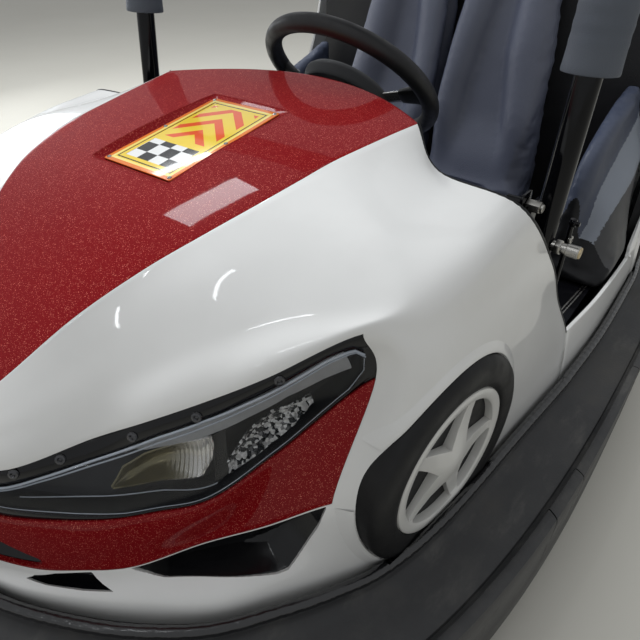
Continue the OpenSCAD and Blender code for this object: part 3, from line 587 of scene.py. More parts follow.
# Facets painted near black or white at random: painted reflections of the faceted reflector.
facet_glint = chrome_facet.add("SeparateColor", None, {0: chrome_facet.cells(240.0, out="Color")}, 0)
chrome_facet.set(Base_Color=chrome_facet.mix(facet_glint.ramp(0.40, 0.75),
                                             (0.03, 0.033, 0.036), (1.0, 1.0, 1.0)))
chrome_facet.bump(chrome_facet.cells(170.0), 0.006)
screw_dark = Finish("screw_dark", Base_Color=(0.085, 0.085, 0.09), Metallic=0.7)
screw_dark.matt(90.0, 0.16, 0.3)
interior_black = Finish("lamp_interior", Base_Color=(0.010, 0.0105, 0.012))
interior_black.matt(60.0, 0.3, 0.5)

# Lines across a lamp, (s, t): s counts the nose's cells outwards, t runs up a cell from 0 to 1.
lens_low = ((0.12, 0.38), (0.6, 0.26), (1.0, 0.20), (1.8, 0.10), (2.45, 0.055), (3.6, 0.045),
            (4.3, 0.045), (5.1, 0.05), (5.7, 0.07), (5.86, 0.20), (5.9, 0.42))
rib_line = ((0.12, 0.40), (0.6, 0.52), (1.0, 0.60), (1.4, 0.67), (2.1, 0.72), (3.24, 0.785),
            (4.0, 0.80), (4.7, 0.79), (5.2, 0.77), (5.6, 0.74), (5.84, 0.66), (5.9, 0.46))
strip_low = ((2.5, 0.735), (2.9, 0.665), (4.13, 0.62), (4.7, 0.575), (5.19, 0.52), (5.5, 0.40),
             (5.75, 0.26))
ledge_line = ((1.2, 0.34), (1.54, 0.32), (2.07, 0.278), (3.1, 0.22), (4.0, 0.127), (4.1, 0.12))
bowl_foot = ((2.2, 0.355), (3.1, 0.33), (3.8, 0.275), (4.05, 0.42))
bowl_top = ((2.2, 0.36), (2.4, 0.55), (2.83, 0.62), (3.47, 0.645), (4.05, 0.60))
facet_low = ((4.3, 0.12), (4.76, 0.085), (5.18, 0.115), (5.38, 0.2))
facet_high = ((4.3, 0.24), (4.66, 0.42), (5.01, 0.46), (5.38, 0.29))
cell_foot, cell_top = ((0, 0.0),), ((0, 1.0),)


def read(table, s):
    return np.interp(s, [row[0] for row in table], [row[1] for row in table])


def nose_at(side, s, t, depth):
    """Point in a lamp's cell: s cells out from the middle strip, t from foot to top of the cell."""
    s, t, depth = np.broadcast_arrays(*(np.asarray(v, float) for v in (s, t, depth)))
    i = middle_cell + 1 + s if side > 0 else middle_cell - s
    return nose.at(i, 3 + t, depth)[0]


def nose_sheet(name, side, s_range, t_of, depth_of, finish, steps=(90, 24)):
    """A sheet over part of the nose: t_of and depth_of take (s, v), v from 0 to 1 up the sheet."""
    s = np.linspace(*s_range, steps[0] + 1)[:, None]
    v = np.linspace(0, 1, steps[1] + 1)[None, :]
    points = nose_at(side, s + 0 * v, t_of(s, v), depth_of(s, v))
    faces = grid_faces(steps[0] + 1, steps[1] + 1)
    faces = faces if side > 0 else [f[::-1] for f in faces]
    return mesh_piece(name, points.reshape(-1, 3), faces, finish)


def tube(name, path, radius, finish, sides=12, closed=False, flat=1.0):
    """A round bar along a path; radius is a number or one for each point."""
    path = [Vector(p) for p in path]
    count = len(path)
    radii = [radius] * count if isinstance(radius, (int, float)) else radius
    loops, side_way = [], None
    for n in range(count):
        after, before = path[(n + 1) % count], path[n - 1]
        if not closed:
            after, before = path[min(n + 1, count - 1)], path[max(n - 1, 0)]
        way = (after - before).normalized()
        side_way = side_way or way.orthogonal()
        side_way = (side_way - way * side_way.dot(way)).normalized()
        up_way = way.cross(side_way)
        loops.append([path[n] + (side_way * cos(a) + up_way * sin(a) * flat) * radii[n]
                      for a in (2 * pi * k / sides for k in range(sides))])
    return loft(name, loops, finish, cap=not closed, closed=closed)


def between(low, high, low_gap=0.0, high_gap=0.0):
    """Heights of a sheet that runs straight from one line up to another."""
    return lambda s, v: (read(low, s) + low_gap) * (1 - v) + (read(high, s) + high_gap) * v


def arched(depth, rise, power=1.0):
    return lambda s, v: depth + rise * np.sin(v * pi) ** power


def sloped(depth, rise):
    return lambda s, v: depth + rise * v


def housing_t(s, v):
    low, high = read(lens_low, s), read(rib_line, s) + 0.02
    inner = low + (high - low) * np.clip((v - 0.15) / 0.6, 0, 1)
    below, above = v / 0.15 * low, high + (v - 0.75) / 0.25 * (1 - high)
    return np.where(v < 0.15, below, np.where(v > 0.75, above, inner))


def housing_depth(s, v):
    width = read(rib_line, s) + 0.02 - read(lens_low, s)
    up_sheet = np.clip(np.minimum((v - 0.15) / 0.03, (0.75 - v) / 0.03), 0, 1)
    inside = up_sheet * np.clip(width / 0.25, 0, 1)
    return np.where((v < 0.001) | (v > 0.999), 0.0035, 0.0045) + inside * 0.026


def bowl_depth(s, v):
    hollow = np.sin(pi * np.clip((s - 2.2) / 1.85, 0, 1)) ** 0.7 * np.sin(pi * v) ** 0.7
    return 0.009 + 0.021 * hollow + 0.0007 * np.sin(s * 70) * np.clip((s - 3.0) / 0.5, 0, 1)


def facet_depth(s, v):
    return 0.010 + 0.007 * np.sin(pi * v) + 0.0012 * np.sin(s * 55) * np.sin(v * 31)


# Sheets of a lamp: name, ends, heights, depths, finish, steps, thickness and slot.
lamp_sheets = (
    ("lamp_housing_{}", (0, 6), housing_t, housing_depth, interior_black, (120, 40), 0.003,
     "lamp_black"),
    ("lamp_flange_{}", (0, 6), between(rib_line, cell_top, 0.012), arched(0.0036, -0.0022),
     gloss_black, (120, 8), 0.0025, "lamp_black"),
    ("lamp_surround_{}", (0, 6), between(cell_foot, lens_low, 0, -0.004), arched(0.0034, -0.0016),
     gloss_black, (120, 6), 0.0025, "lamp_black"),
    ("lamp_end_{}", (5.86, 6), between(cell_foot, cell_top), sloped(0.0030, 0), gloss_black,
     (6, 20), 0.0025, "lamp_black"),
    ("lamp_lens_{}_moulding", (0.12, 5.9), between(lens_low, rib_line),
     arched(-0.001, -0.0035, 0.6), lens_clear, (120, 16), 0.003, "lens_clear"),
    ("light_strip_{}", (2.5, 5.75), between(strip_low, rib_line, 0, -0.03), sloped(0.009, -0.004),
     strip_grey, (80, 6), 0.004, "lamp_black"),
    ("lamp_divider_{}", (4.06, 4.30), lambda s, v: 0.10 + 0.005 * s + 0.46 * v,
     sloped(0.010, 0.004), gloss_black, (8, 12), 0.003, "lamp_black"),
    ("lamp_bowl_{}", (2.2, 4.05), between(bowl_foot, bowl_top), bowl_depth, chrome_bowl, (150, 20),
     0.002, "bright_steel"),
    ("lamp_facets_{}", (4.3, 5.38), between(facet_low, facet_high), facet_depth, chrome_facet,
     (60, 24), 0.002, "bright_steel"))
# Lines of painted highlight along the lens: name, ends, count, line, shift, depth, radius and
# sides.
lens_lines = (("lens_rib", (0.12, 5.9), 110, rib_line, 0, 0.0004, 0.0015, 10),
              ("lens_rib_low", (0.12, 5.9), 110, rib_line, -0.050, 0.0004, 0.0010, 8),
              ("lens_edge", (0.12, 5.9), 110, lens_low, 0.020, 0.001, 0.0005, 8),
              ("lens_ledge", (1.2, 4.1), 60, ledge_line, 0, 0.008, 0.0007, 8))
screw_profile = ((0, 0.0012), (0.0016, 0.0006), (0.0030, 0.0024), (0.0052, 0.0018), (0.0060, 0.0),
                 (0.0, -0.0006))
for side, word in ((1, "left"), (-1, "right")):
    for name, ends, t_of, depth_of, finish, steps, depth, slot in lamp_sheets:
        sheet = nose_sheet(name.format(word), side, ends, t_of, depth_of, finish, steps)
        if finish is chrome_bowl:
            along = sheet.data.attributes.new("along", "FLOAT", "POINT")
            way_along = np.repeat(np.linspace(0, 1, steps[0] + 1), steps[1] + 1)
            along.data.foreach_set("value", way_along)
        node = f"lamp_lens_{word}" if slot == "lens_clear" else "lamp_bowls"
        fasten(refine(sheet, thick(depth)), slot, node)
    for name, ends, count, line, shift, depth, radius, sides in lens_lines:
        s = np.linspace(*ends, count)
        path = nose_at(side, s, read(line, s) + shift, depth)
        bright = tube(f"{name}_{word}", path, radius, lens_edge, sides)
        fasten(bright, "lens_clear", f"lamp_lens_{word}")
    for n, s_screw in enumerate((0.62, 1.15, 1.62, 2.73, 3.86, 5.14)):
        seat, inward = nose.at(middle_cell + 1 + s_screw if side > 0 else middle_cell - s_screw,
                               3.868 if s_screw > 1 else 3.8, 0.0010)
        turn = Vector(-inward).to_track_quat("Z", "Y").to_matrix().to_4x4()
        head = lathe(f"lamp_screw_{word}_{n}", screw_profile, Matrix.Translation(seat) @ turn,
                     screw_dark, 28)
        fasten(head, "lamp_black", "lamp_bowls")

# Nose vents: gloss-black trays clipped behind openings in the chin, two a side, each folded into a
# shelf below and a roof above, and a wide intake across the middle of the red band.
def span_of(outline, s):
    """Lowest and highest t of a convex counterclockwise outline at s."""
    low, high = np.full(s.shape, -9.0), np.full(s.shape, 9.0)
    for (s0, t0), (s1, t1) in zip(outline, outline[1:] + outline[:1]):
        line = t0 + (s - s0) * (t1 - t0) / (s1 - s0)
        low, high = (np.maximum(low, line), high) if s1 > s0 else (low, np.minimum(high, line))
    return low, high


def outline_points(where, outline, grow, depth_of, steps):
    """Points under the nose's face over an outline grown about its middle, in columns along s."""
    middle = np.mean(outline, axis=0)
    outline = [tuple(middle + (np.array(p) - middle) * (1 + grow)) for p in outline]
    ends = min(p[0] for p in outline), max(p[0] for p in outline)
    s = np.linspace(ends[0] + 0.015, ends[1] - 0.015, steps[0] + 1)[:, None]
    low, high = span_of(outline, s)
    t = low + (high - low) * np.linspace(0, 1, steps[1] + 1)[None, :]
    i = {"left": middle_cell + 1 + s, "right": middle_cell - s,
         "middle": middle_cell + 0.5 + s}[where]
    return nose.at(i + 0 * t, t, depth_of(s + 0 * t, t))[0]


# Corners (s, t) and, after each, the slope of the tray from the side that starts there.
outer_vent = ((2.93, 1.985, 0.06), (3.40, 1.60, 0.055), (4.95, 1.15, 0.055), (5.12, 1.17, 0.05),
              (5.80, 1.74, 0.05), (5.93, 1.985, 0.095))
inner_vent = ((1.0, 1.60, 0.06), (1.4, 1.46, 0.06), (2.02, 1.38, 0.06), (2.56, 1.40, 0.06),
              (2.20, 1.965, 0.09), (1.5, 1.93, 0.09), (1.12, 1.80, 0.08))
intake = ((-1.80, 2.20, 0.08), (-1.64, 2.08, 0.08), (-1.0, 2.04, 0.10), (1.0, 2.04, 0.08),
          (1.64, 2.08, 0.08), (1.80, 2.20, 0.08), (1.77, 2.27, 0.12), (1.23, 2.50, 0.14),
          (-1.23, 2.50, 0.12), (-1.77, 2.27, 0.08))
vents = [(f"{name}_{where}", where, sides, deep) for name, sides, deep in (
    ("outer", outer_vent, 0.024), ("inner", inner_vent, 0.016)) for where in ("left", "right")]
for name, where, sides, deep in vents + [("intake", "middle", intake, 0.016)]:
    corners = [side[:2] for side in sides]

    def tray_depth(s, t):
        fall = np.full(s.shape, deep)
        for (s0, t0, slope), (s1, t1) in zip(sides, corners[1:] + corners[:1]):
            away = ((s1 - s0) * (t - t0) - (t1 - t0) * (s - s0)) / sqrt((s1 - s0)**2 + (t1 - t0)**2)
            fall = np.minimum(fall, away * slope)
        return wall + 0.0006 + np.maximum(fall, 0.0)

    outside, inside = (outline_points(where, corners, 0.0, lambda s, t: 0 * s + depth, (60, 8))
                       for depth in (-0.02, 0.03))
    tool = loft("vent_tool", np.concatenate([outside, inside[:, ::-1]], axis=1).tolist(), flake)
    turned = bmesh.new()
    turned.from_mesh(tool.data)
    bmesh.ops.recalc_face_normals(turned, faces=turned.faces)
    if turned.calc_volume(signed=True) < 0:
        bmesh.ops.reverse_faces(turned, faces=turned.faces)
    turned.to_mesh(tool.data)
    for panel in ((front_white,) if where != "middle" else (band, nose_strip)):
        carve(panel, tool, "FAST")
    bpy.data.objects.remove(tool)
    points = outline_points(where, corners, 0.06, tray_depth, (140, 48))
    faces = grid_faces(*points.shape[:2])
    faces = [f[::-1] for f in faces] if where == "right" else faces
    tray = mesh_piece(f"vent_tray_{name}", points.reshape(-1, 3), faces, gloss_black)
    refine(tray, thick(0.002))
    fasten(tray, "vent_black", "nose_vents")

# Tail lamps: red ribbed lenses let into the rear shell, flush with it.
tail_red = Finish("tail_red", Base_Color=(0.42, 0.008, 0.012), Roughness=0.12, Coat_Weight=1.0)
tail_ribs = tail_red.add("TexWave", {"bands_direction": "X"}, {"Scale": 60.0, 0: tail_red.place})
tail_red.bump(tail_ribs, 0.001)
tail_lamps = skin_piece("tail_lamp_lenses", tail, tail_red, (0, tail.rows), (3, 4), is_tail_lamp)
fasten(tail_lamps, "tail_red", "tail_lamps")

# Edge trim: a soft black strip pushed over the shell's cut edges round the cockpit.
soft_black = Finish("soft_black", Base_Color=(0.007, 0.007, 0.008), Specular_IOR_Level=0.3)
soft_black.matt(40.0, 0.40, 0.55)
for side, word in ((1, "left"), (-1, "right")):
    j = np.linspace(7, 2, 90)
    row = nose.rows if side > 0 else 0
    fasten(tube(f"edge_trim_{word}", nose.at(row + 0 * j, j, wall / 2)[0], 0.0038, soft_black, 10),
           "welt_pvc")
k = np.linspace(1, -1, 80)
rear_edge = hood_points(k, 0 * k + len(FRONT) - 1) - np.array([0, 0, wall / 2])
fasten(tube("hood_edge_trim", rear_edge, 0.0024, soft_black, 10), "welt_pvc")

# Rubber ring: one black moulding all round, pulled over the pan's rim, dusty and scuffed on top.
# Its outer lip has short knife cuts from knocks, and the flat carries pressed lattice marks, drawn
# only as smudges stretched along the car.
half_width, half_length, waist, power, foot_steps = 0.600, 0.980, 0.050, 2.9, 12
rows_of = [(skin, np.linspace(0, skin.rows, skin.rows * foot_steps + 1)) for skin in (nose, tail)]
foot = np.concatenate([skin.face(i, 0 * i)[:, :2] for skin, i in rows_of])
middle = np.array([0.0, waist])


def ring_out(p):
    """The ring's outer face on the ray from its middle through foot point p."""
    d = p - middle
    b = np.where(d[:, 1] < 0, half_length + waist, half_length - waist)
    reach = ((abs(d[:, 0]) / half_width) ** power + (abs(d[:, 1]) / b) ** power) ** (-1 / power)
    return middle + d * reach[:, None]


ring_edge = ring_out(foot)
# Section of the ring: share of the way out from foot to edge, and height.
ring_section = ((0, 0.104), (0, 0.250), (0.02, 0.259), (0.05, 0.2626), (0.115, 0.263),
                (0.14, 0.2605), (0.155, 0.2535), (0.18, 0.2505), (0.30, 0.2475), (0.50, 0.2462),
                (0.74, 0.2468), (0.785, 0.2455), (0.80, 0.2425), (0.815, 0.2455), (0.84, 0.2475),
                (0.862, 0.2550), (0.88, 0.2562), (0.95, 0.2562), (0.985, 0.2545), (1.0, 0.2480),
                (1.0, 0.2100), (0.99, 0.2050), (0.99, 0.1500), (1.0, 0.1450), (1.0, 0.108),
                (0.985, 0.099), (0.94, 0.096), (0.08, 0.096))
cut_at = np.array([20, 47, 66, 95, 131, 158, 171, 178, 185, 204, 221, 238, 243, 262, 300, 331, 377,
                   420])
cut_at %= len(foot)
rubber = Finish("bumper_rubber", Roughness=0.72)
dust = rubber.noise(6.0, 6.0, 0.65).ramp(0.42, 0.72)
along_car = rubber.add("Mapping", None, {"Vector": rubber.place, "Scale": (1.0, 0.35, 1.0)})
smudge = rubber.noise(28.0, 5.0, 0.7, along_car).ramp(0.5, 0.78)
grime = rubber.mix(dust * 0.8, (0.030, 0.030, 0.031), (0.075, 0.072, 0.067))
rubber.set(Base_Color=rubber.mix(smudge * 0.45, grime, (0.105, 0.100, 0.090)),
           Roughness=dust.ramp(0, 1, 0.55, 0.85))
rubber.bump(rubber.noise(220.0, 4.0), 0.0004)
stations = []
next_foot, next_edge = (np.roll(line, -1, axis=0) for line in (foot, ring_edge))
for n, (p, q, e, f) in enumerate(zip(foot, next_foot, ring_edge, next_edge)):
    cuts = ((0, 0), (0.44, 0), (0.47, 1), (0.53, 1), (0.56, 0)) if n in cut_at else ((0, 0),)
    stations += [(p + (q - p) * share, e + (f - e) * share, cut) for share, cut in cuts]
loops = [[(*(p + (e - p) * (share - 0.06 if cut and share > 0.9 and z > 0.2 else share)),
           z - (0.007 if cut and 0.85 < share and z > 0.24 else 0)) for share, z in ring_section]
         for p, e, cut in stations]
ring = loft("rubber_ring", loops, rubber, closed=True)
cut_arches(ring, 0.005)
fasten(ring, "bumper_rubber", "bumper_ring")

# Welt: a bright extruded bead between shell and rubber, pressed on in short ribs.
welt_black = Finish("welt_black", Base_Color=(0.010, 0.010, 0.011), Roughness=0.16, Coat_Weight=0.8)
welt_black.bump(welt_black.noise(130.0, 3.0), 0.0012)
welt_r, welt_z = 0.008, 0.2713
share = 0.04 + welt_r / 0.110
bead = np.concatenate([foot + (ring_edge - foot) * share, np.full((len(foot), 1), welt_z)], axis=1)
fine_bead = []
for a, b in zip(bead, np.roll(bead, -1, axis=0)):
    steps = max(1, int(np.linalg.norm(b - a) / 0.0035))
    fine_bead += [a + (b - a) * m / steps for m in range(steps)]
radii = [welt_r * (1.0 if m % 4 else 0.93) for m in range(len(fine_bead))]
welt = tube("welt_bead", fine_bead, radii, welt_black, 12, closed=True)
cut_arches(welt, 0.005)
fasten(welt, "welt_pvc", "welt")

# Dummy wheels: black moulded tyres standing in the arches, cut off at the pan's rim, with white
# five-spoke rims snapped in. A raised white lip runs round each arch.
tyre_black = Finish("tyre_black", Base_Color=(0.006, 0.006, 0.0065), Specular_IOR_Level=0.35)
tyre_black.matt(25.0, 0.42, 0.60)
rim_white = Finish("rim_white", Roughness=0.32, Coat_Weight=0.3)
rim_white.two_tone(14.0, (0.66, 0.65, 0.61), (0.74, 0.73, 0.70))
floor_cut = rim_top + 0.0003
tyre_profile = ((0.1063, -0.012), (0.1063, -0.002), (0.109, 0.0015), (0.116, 0.0035),
                (0.128, 0.0038), (0.137, 0.0020), (0.143, -0.0015), (0.1462, -0.006),
                (0.147, -0.012), (0.147, -0.040), (0.02, -0.040), (0.02, -0.012))
# Windows between five spokes: half a window's angle, and at each radius half the spoke's width.
half, spoke_sides = radians(36), ((0.072, 0.0095), (0.052, 0.0125), (0.041, 0.0150))
windows = []
for lobe in range(5):
    mid = radians(54 + 72 * lobe)
    loop = [(0.0905, mid + share * (half - 0.0075 / 0.0905)) for share in np.linspace(-1, 1, 15)]
    loop += [(r, mid + half - width / r) for r, width in spoke_sides]
    loop += [(0.033, mid + 0.10), (0.030, mid), (0.033, mid - 0.10)]
    loop += [(r, mid - half + width / r) for r, width in spoke_sides[::-1]]
    windows.append([(r * cos(a), r * sin(a)) for r, a in loop])
rim_profile = ((0, 0.0075), (0.008, 0.0072), (0.020, 0.0050), (0.034, 0.0012), (0.052, -0.0018),
               (0.075, -0.0030), (0.088, -0.0026), (0.0915, 0.0004), (0.0935, 0.0016),
               (0.102, 0.0018), (0.1048, 0.0008), (0.106, -0.0015), (0.106, -0.0117), (0, -0.0117))
rim_master = lathe("rim_master", rim_profile, Matrix(), rim_white, 120)
for loop in windows:
    tool = prism("window_tool", loop, Matrix(), -0.03, 0.03, rim_white, edge=0)
    carve(rim_master, tool)
    bpy.data.objects.remove(tool)
refine(rim_master, eased(0.0016, 40, 3))
shell_trees = [tree_of(front_white), tree_of(rear_white)]
# Section of an arch lip: radius and height over the shell's face.
lip_section = ((0.1478, -0.004), (0.1478, 0.0022), (0.1492, 0.0036), (0.1520, 0.0036),
               (0.1560, 0.0022), (0.1610, 0.0004), (0.1650, -0.0008))
lip_steps, lip_arc, lip_from, lip_low, shell_from_r = 180, 304, -152, 0.257, 0.1505
for n, place in enumerate(arch_places()):
    facing, centre = place @ Matrix.Rotation(pi / 2, 4, "Y"), place.translation
    tyre = lathe(f"dummy_tyre_{n}", tyre_profile, facing, tyre_black, 128)
    rim = bpy.data.objects.new(f"dummy_rim_{n}", rim_master.data.copy())
    scene.collection.objects.link(rim)
    rim.data.transform(facing)
    under = prism("floor_tool", rounded(0.3, 0.3, 0.01),
                  Matrix.Translation((centre.x, centre.y, 0)), 0.0, floor_cut, tyre_black, edge=0)
    for part, slot, node in ((tyre, "tyre_black", "dummy_tyres"), (rim, "rim_white", "dummy_rims")):
        fasten(carve(part, under), slot, node)
    bpy.data.objects.remove(under)
    out_way = place.to_3x3() @ Vector((1, 0, 0))
    runs = [[]]
    for step in range(lip_steps + 1):
        a = radians(lip_from + step * lip_arc / lip_steps)
        spoke = place.to_3x3() @ Vector((0, sin(a), cos(a)))
        row = []
        for radius, lift in lip_section:
            base = centre + spoke * max(radius, shell_from_r)
            hits = [tree.ray_cast(base + out_way * 0.2, -out_way, 0.4)[0] for tree in shell_trees]
            reach = max(((hit - base).dot(out_way) for hit in hits if hit is not None),
                        default=None)
            if reach is not None:
                row.append(centre + spoke * radius + out_way * (reach + lift))
        if len(row) == len(lip_section) and min(p.z for p in row) > lip_low:
            runs[-1].append(row)
        elif runs[-1]:
            runs.append([])
    for m, rows in enumerate(runs):
        if len(rows) >= 8:
            lip = mesh_piece(f"arch_lip_{n}_{m}", [p for row in rows for p in row],
                             grid_faces(len(rows), len(lip_section)), pearl)
            fasten(lip, "pearl_white", "front_shell" if n < 2 else "rear_shell")
bpy.data.objects.remove(rim_master)

# Steering wheel: a moulded soft rim on three flat polished spokes under a fat round crash pad.
# The rim's moulding runs down each spoke in a short tapering root with a small screw in it.
column_tilt, hub_centre = radians(44), Vector((0, -0.012, 0.678))
column = Matrix.Translation(hub_centre) @ Matrix.Rotation(-column_tilt, 4, "X")
wheel_rim_r, section_r, spoke_rise = 0.154, 0.015, tan(radians(16))
grip_black = Finish("grip_black", Base_Color=(0.012, 0.012, 0.013))
grip_black.matt(35.0, 0.36, 0.54, 5.0)
grip_black.bump(grip_black.noise(900.0, 2.0), 0.0002)
path = [column @ Vector((wheel_rim_r * cos(a), wheel_rim_r * sin(a), 0))
        for a in (2 * pi * n / 160 for n in range(160))]
fasten(tube("wheel_grip", path, section_r, grip_black, 32, closed=True), "wheel_rim_black",
       "steering_rim", body="steering_wheel")
pad_grey = Finish("pad_grey", Roughness=0.60)
pad_grey.two_tone(24.0, (0.030, 0.031, 0.033), (0.046, 0.047, 0.050), 5.0)
pad_grey.bump(pad_grey.noise(500.0, 2.0), 0.0003)
pad = lathe("crash_pad", (
    (0, -0.0030), (0.030, -0.0034), (0.055, -0.0048), (0.070, -0.0070), (0.0785, -0.0105),
    (0.0822, -0.0150), (0.0826, -0.0200), (0.0806, -0.0300), (0.0792, -0.0350), (0.0774, -0.0364),
    (0.0756, -0.0352), (0.0745, -0.0325), (0.072, -0.0318), (0, -0.0318)), column, pad_grey, 128)
boss = lathe("wheel_boss", ((0, -0.0316), (0.040, -0.0316), (0.040, -0.0355), (0.036, -0.0375),
                            (0.030, -0.038), (0, -0.038)), column, grip_black, 48)
for part in (pad, boss):
    fasten(part, "cockpit_black", "steering_hub", body="steering_wheel")
spoke_from, spoke_low = 0.060, -0.0240
# Sections of a spoke's root: distance from the hub's middle, half width, half height, lift.
root_sections = ((0.1075, 0.0120, 0.0020, 0), (0.1080, 0.0150, 0.0034, 0),
                 (0.1100, 0.0172, 0.0048, 0), (0.118, 0.0188, 0.0060, 0),
                 (0.130, 0.0205, 0.0080, 0.0004), (0.140, 0.0235, 0.0100, 0.0006),
                 (0.148, 0.0280, 0.0105, 0.0004), (0.154, 0.0300, 0.0090, 0))
bolt_profile = ((0, 0.0020), (0.0016, 0.0008), (0.0034, 0.0016), (0.0042, 0.0), (0, -0.0005))
bolt_place = (Matrix.Translation((0.124, 0, spoke_low + (0.124 - spoke_from) * spoke_rise + 0.0066))
              @ Matrix.Rotation(-radians(16), 4, "Y"))


def squared(value):
    """Squares a circle's sine or cosine up a little."""
    return np.sign(value) * abs(value) ** 0.6


for n in range(3):
    turn = column @ Matrix.Rotation(radians(n * 90), 4, "Z")

    def spoke_loop(r, half_w, half_t, up=0.0, count=20):
        """A rounded section of a spoke or its root, r out from the hub."""
        z = spoke_low + (r - spoke_from) * spoke_rise + up
        return [turn @ Vector((r, half_w * squared(cos(a)), z + half_t * squared(sin(a))))
                for a in (2 * pi * m / count for m in range(count))]

    arm = loft(f"wheel_spoke_{n}", [spoke_loop(r, 0.0148, 0.0022)
                                    for r in np.linspace(spoke_from, 0.140, 12)],
               steel)
    fasten(arm, "bright_steel", "steering_hub", body="steering_wheel")
    root = loft(f"spoke_root_{n}", [spoke_loop(*section) for section in root_sections], grip_black)
    fasten(root, "wheel_rim_black", body="steering_wheel")
    fasten(lathe(f"spoke_bolt_{n}", bolt_profile, turn @ bolt_place, steel, 20), "bright_steel",
           body="steering_wheel")

# Safety hoop: one bent steel tube, gloss black, with slit foam sleeves on both posts and the crown.
pivot, hoop_lean, post_half, post_r = Vector((0, -0.138, 0.545)), radians(5.5), 0.424, 0.017
foam_r, bend_r, foam_low = 0.034, 0.075, 0.766
hoop_place = Matrix.Translation(pivot) @ Matrix.Rotation(-hoop_lean, 4, "X")
hoop_h = (0.985 - foam_r - pivot.z) / cos(hoop_lean)
coat_black = Finish("powder_black", Base_Color=(0.003, 0.003, 0.004), Specular_IOR_Level=0.30)
coat_black.matt(30.0, 0.08, 0.13)
path = [(post_half, 0, z) for z in np.linspace(-0.024, hoop_h - bend_r, 24)]
path += [(post_half - bend_r + bend_r * cos(a), 0, hoop_h - bend_r + bend_r * sin(a))
         for a in np.linspace(0, pi / 2, 17)[1:]]
path += [(x, 0, hoop_h) for x in np.linspace(post_half - bend_r, 0, 14)[1:]]
path += [(-x, y, z) for x, y, z in path[-2::-1]]
fasten(tube("hoop_bar", [hoop_place @ Vector(p) for p in path], post_r, coat_black, 32),
       "gloss_black_steel", "hoop_tube", body="safety_hoop")
foam = Finish("foam_black", Base_Color=(0.088, 0.100, 0.122))
foam.matt(18.0, 0.55, 0.80, 5.0, high=0.75)
foam.bump(foam.noise(700.0, 2.0), 0.0004)
sleeve_low, sleeve_top = (foam_low - pivot.z) / cos(hoop_lean), hoop_h - bend_r - 0.004
half_crown = post_half - bend_r - 0.010
bore = post_r + 0.0004


def sleeve(name, place, low_end, high_end, middle, wave):
    """A foam sleeve on the bar: the profiles of its two ends, and a slightly wavy run between."""
    profile = [*low_end, *((foam_r + 0.0004 * sin(n * wave), z) for n, z in enumerate(middle)),
               *high_end]
    piece = lathe(name, profile[::-1], hoop_place @ place, foam, 64)
    fasten(piece, "foam_black", "hoop_foam", body="safety_hoop")


for side, word in ((1, "left"), (-1, "right")):
    sleeve(f"foam_sleeve_{word}", Matrix.Translation((side * post_half, 0, 0)),
           [(r, sleeve_low + up) for r, up in ((bore, 0.004), (post_r + 0.004, 0.0008), (0.030, 0),
                                               (0.0345, 0.0012), (0.0352, 0.004), (0.0346, 0.012))],
           [(0.0345, sleeve_top - 0.006), (0.033, sleeve_top - 0.001), (bore, sleeve_top)],
           np.linspace(sleeve_low + 0.03, sleeve_top - 0.02, 12), 1.7)
sleeve("foam_sleeve_crown", Matrix.Translation((0, 0, hoop_h)) @ Matrix.Rotation(pi / 2, 4, "Y"),
       [(bore, -half_crown), (0.032, -half_crown), (0.0345, 0.003 - half_crown)],
       [(0.0345, half_crown - 0.003), (0.032, half_crown), (bore, half_crown)],
       np.linspace(0.02 - half_crown, half_crown - 0.02, 18), 1.3)

# Hoop brackets: black plates on the ledges with a bright pivot bolt, a stop cylinder, nuts and a
# black rod down to the ledge, and two polished wear strips along each ledge.
zinc = Finish("zinc_plated", Metallic=1.0)
zinc.two_tone(30.0, (0.40, 0.39, 0.37), (0.58, 0.56, 0.52), 4.0)
zinc.matt(60.0, 0.20, 0.38, 4.0)
brass = Finish("passivated_face", Metallic=1.0, Base_Color=(0.62, 0.50, 0.30), Roughness=0.28)
brass.bump(brass.noise(300.0), 0.0003)


def bar(name, r, side, y, z, inner, outer, finish, sides):
    """A bar along X with eased ends, round or hexagonal."""
    place = Matrix.Translation((0, y, z)) @ Matrix.Rotation(side * pi / 2, 4, "Y")
    if sides == 6:
        corners = [(r * cos(pi * n / 3), r * sin(pi * n / 3)) for n in range(6)]
        return prism(f"bracket_hex_{name}", corners, place, inner, outer, finish, 0.0008)
    ease = min(0.0010, r / 4)
    profile = ((0, inner), (r - ease, inner), (r, inner + ease), (r, outer - ease),
               (r - ease, outer), (0, outer))
    return lathe(f"bracket_bar_{name}", profile, place, finish, sides)


# Bars along X: y, z, inner x, outer x, radius, sides and finish.
bracket_bars = (
    (-0.138, 0.545, 0.393, 0.478, 0.0078, 36, zinc),
    (-0.138, 0.545, 0.4445, 0.4530, 0.0115, 6, zinc),
    (-0.138, 0.545, 0.4600, 0.4780, 0.0092, 36, zinc),
    (-0.138, 0.545, 0.4770, 0.4800, 0.0084, 36, brass),
    (-0.168, 0.607, 0.372, 0.400, 0.0080, 36, coat_black),
    (-0.168, 0.607, 0.401, 0.4200, 0.0090, 6, zinc),
    (-0.168, 0.607, 0.366, 0.372, 0.0046, 36, zinc),
    (-0.168, 0.607, 0.4200, 0.4240, 0.0060, 36, zinc),
    (-0.100, 0.568, 0.4462, 0.4610, 0.0036, 36, coat_black),
    (-0.100, 0.568, 0.4500, 0.4560, 0.0066, 6, coat_black),
    (-0.098, 0.541, 0.4462, 0.4560, 0.0034, 36, coat_black),
    (-0.098, 0.541, 0.4510, 0.4560, 0.0070, 6, zinc),
    (-0.112, 0.400, 0.402, 0.4090, 0.0062, 6, zinc),
    (-0.165, 0.385, 0.402, 0.4090, 0.0062, 6, zinc))
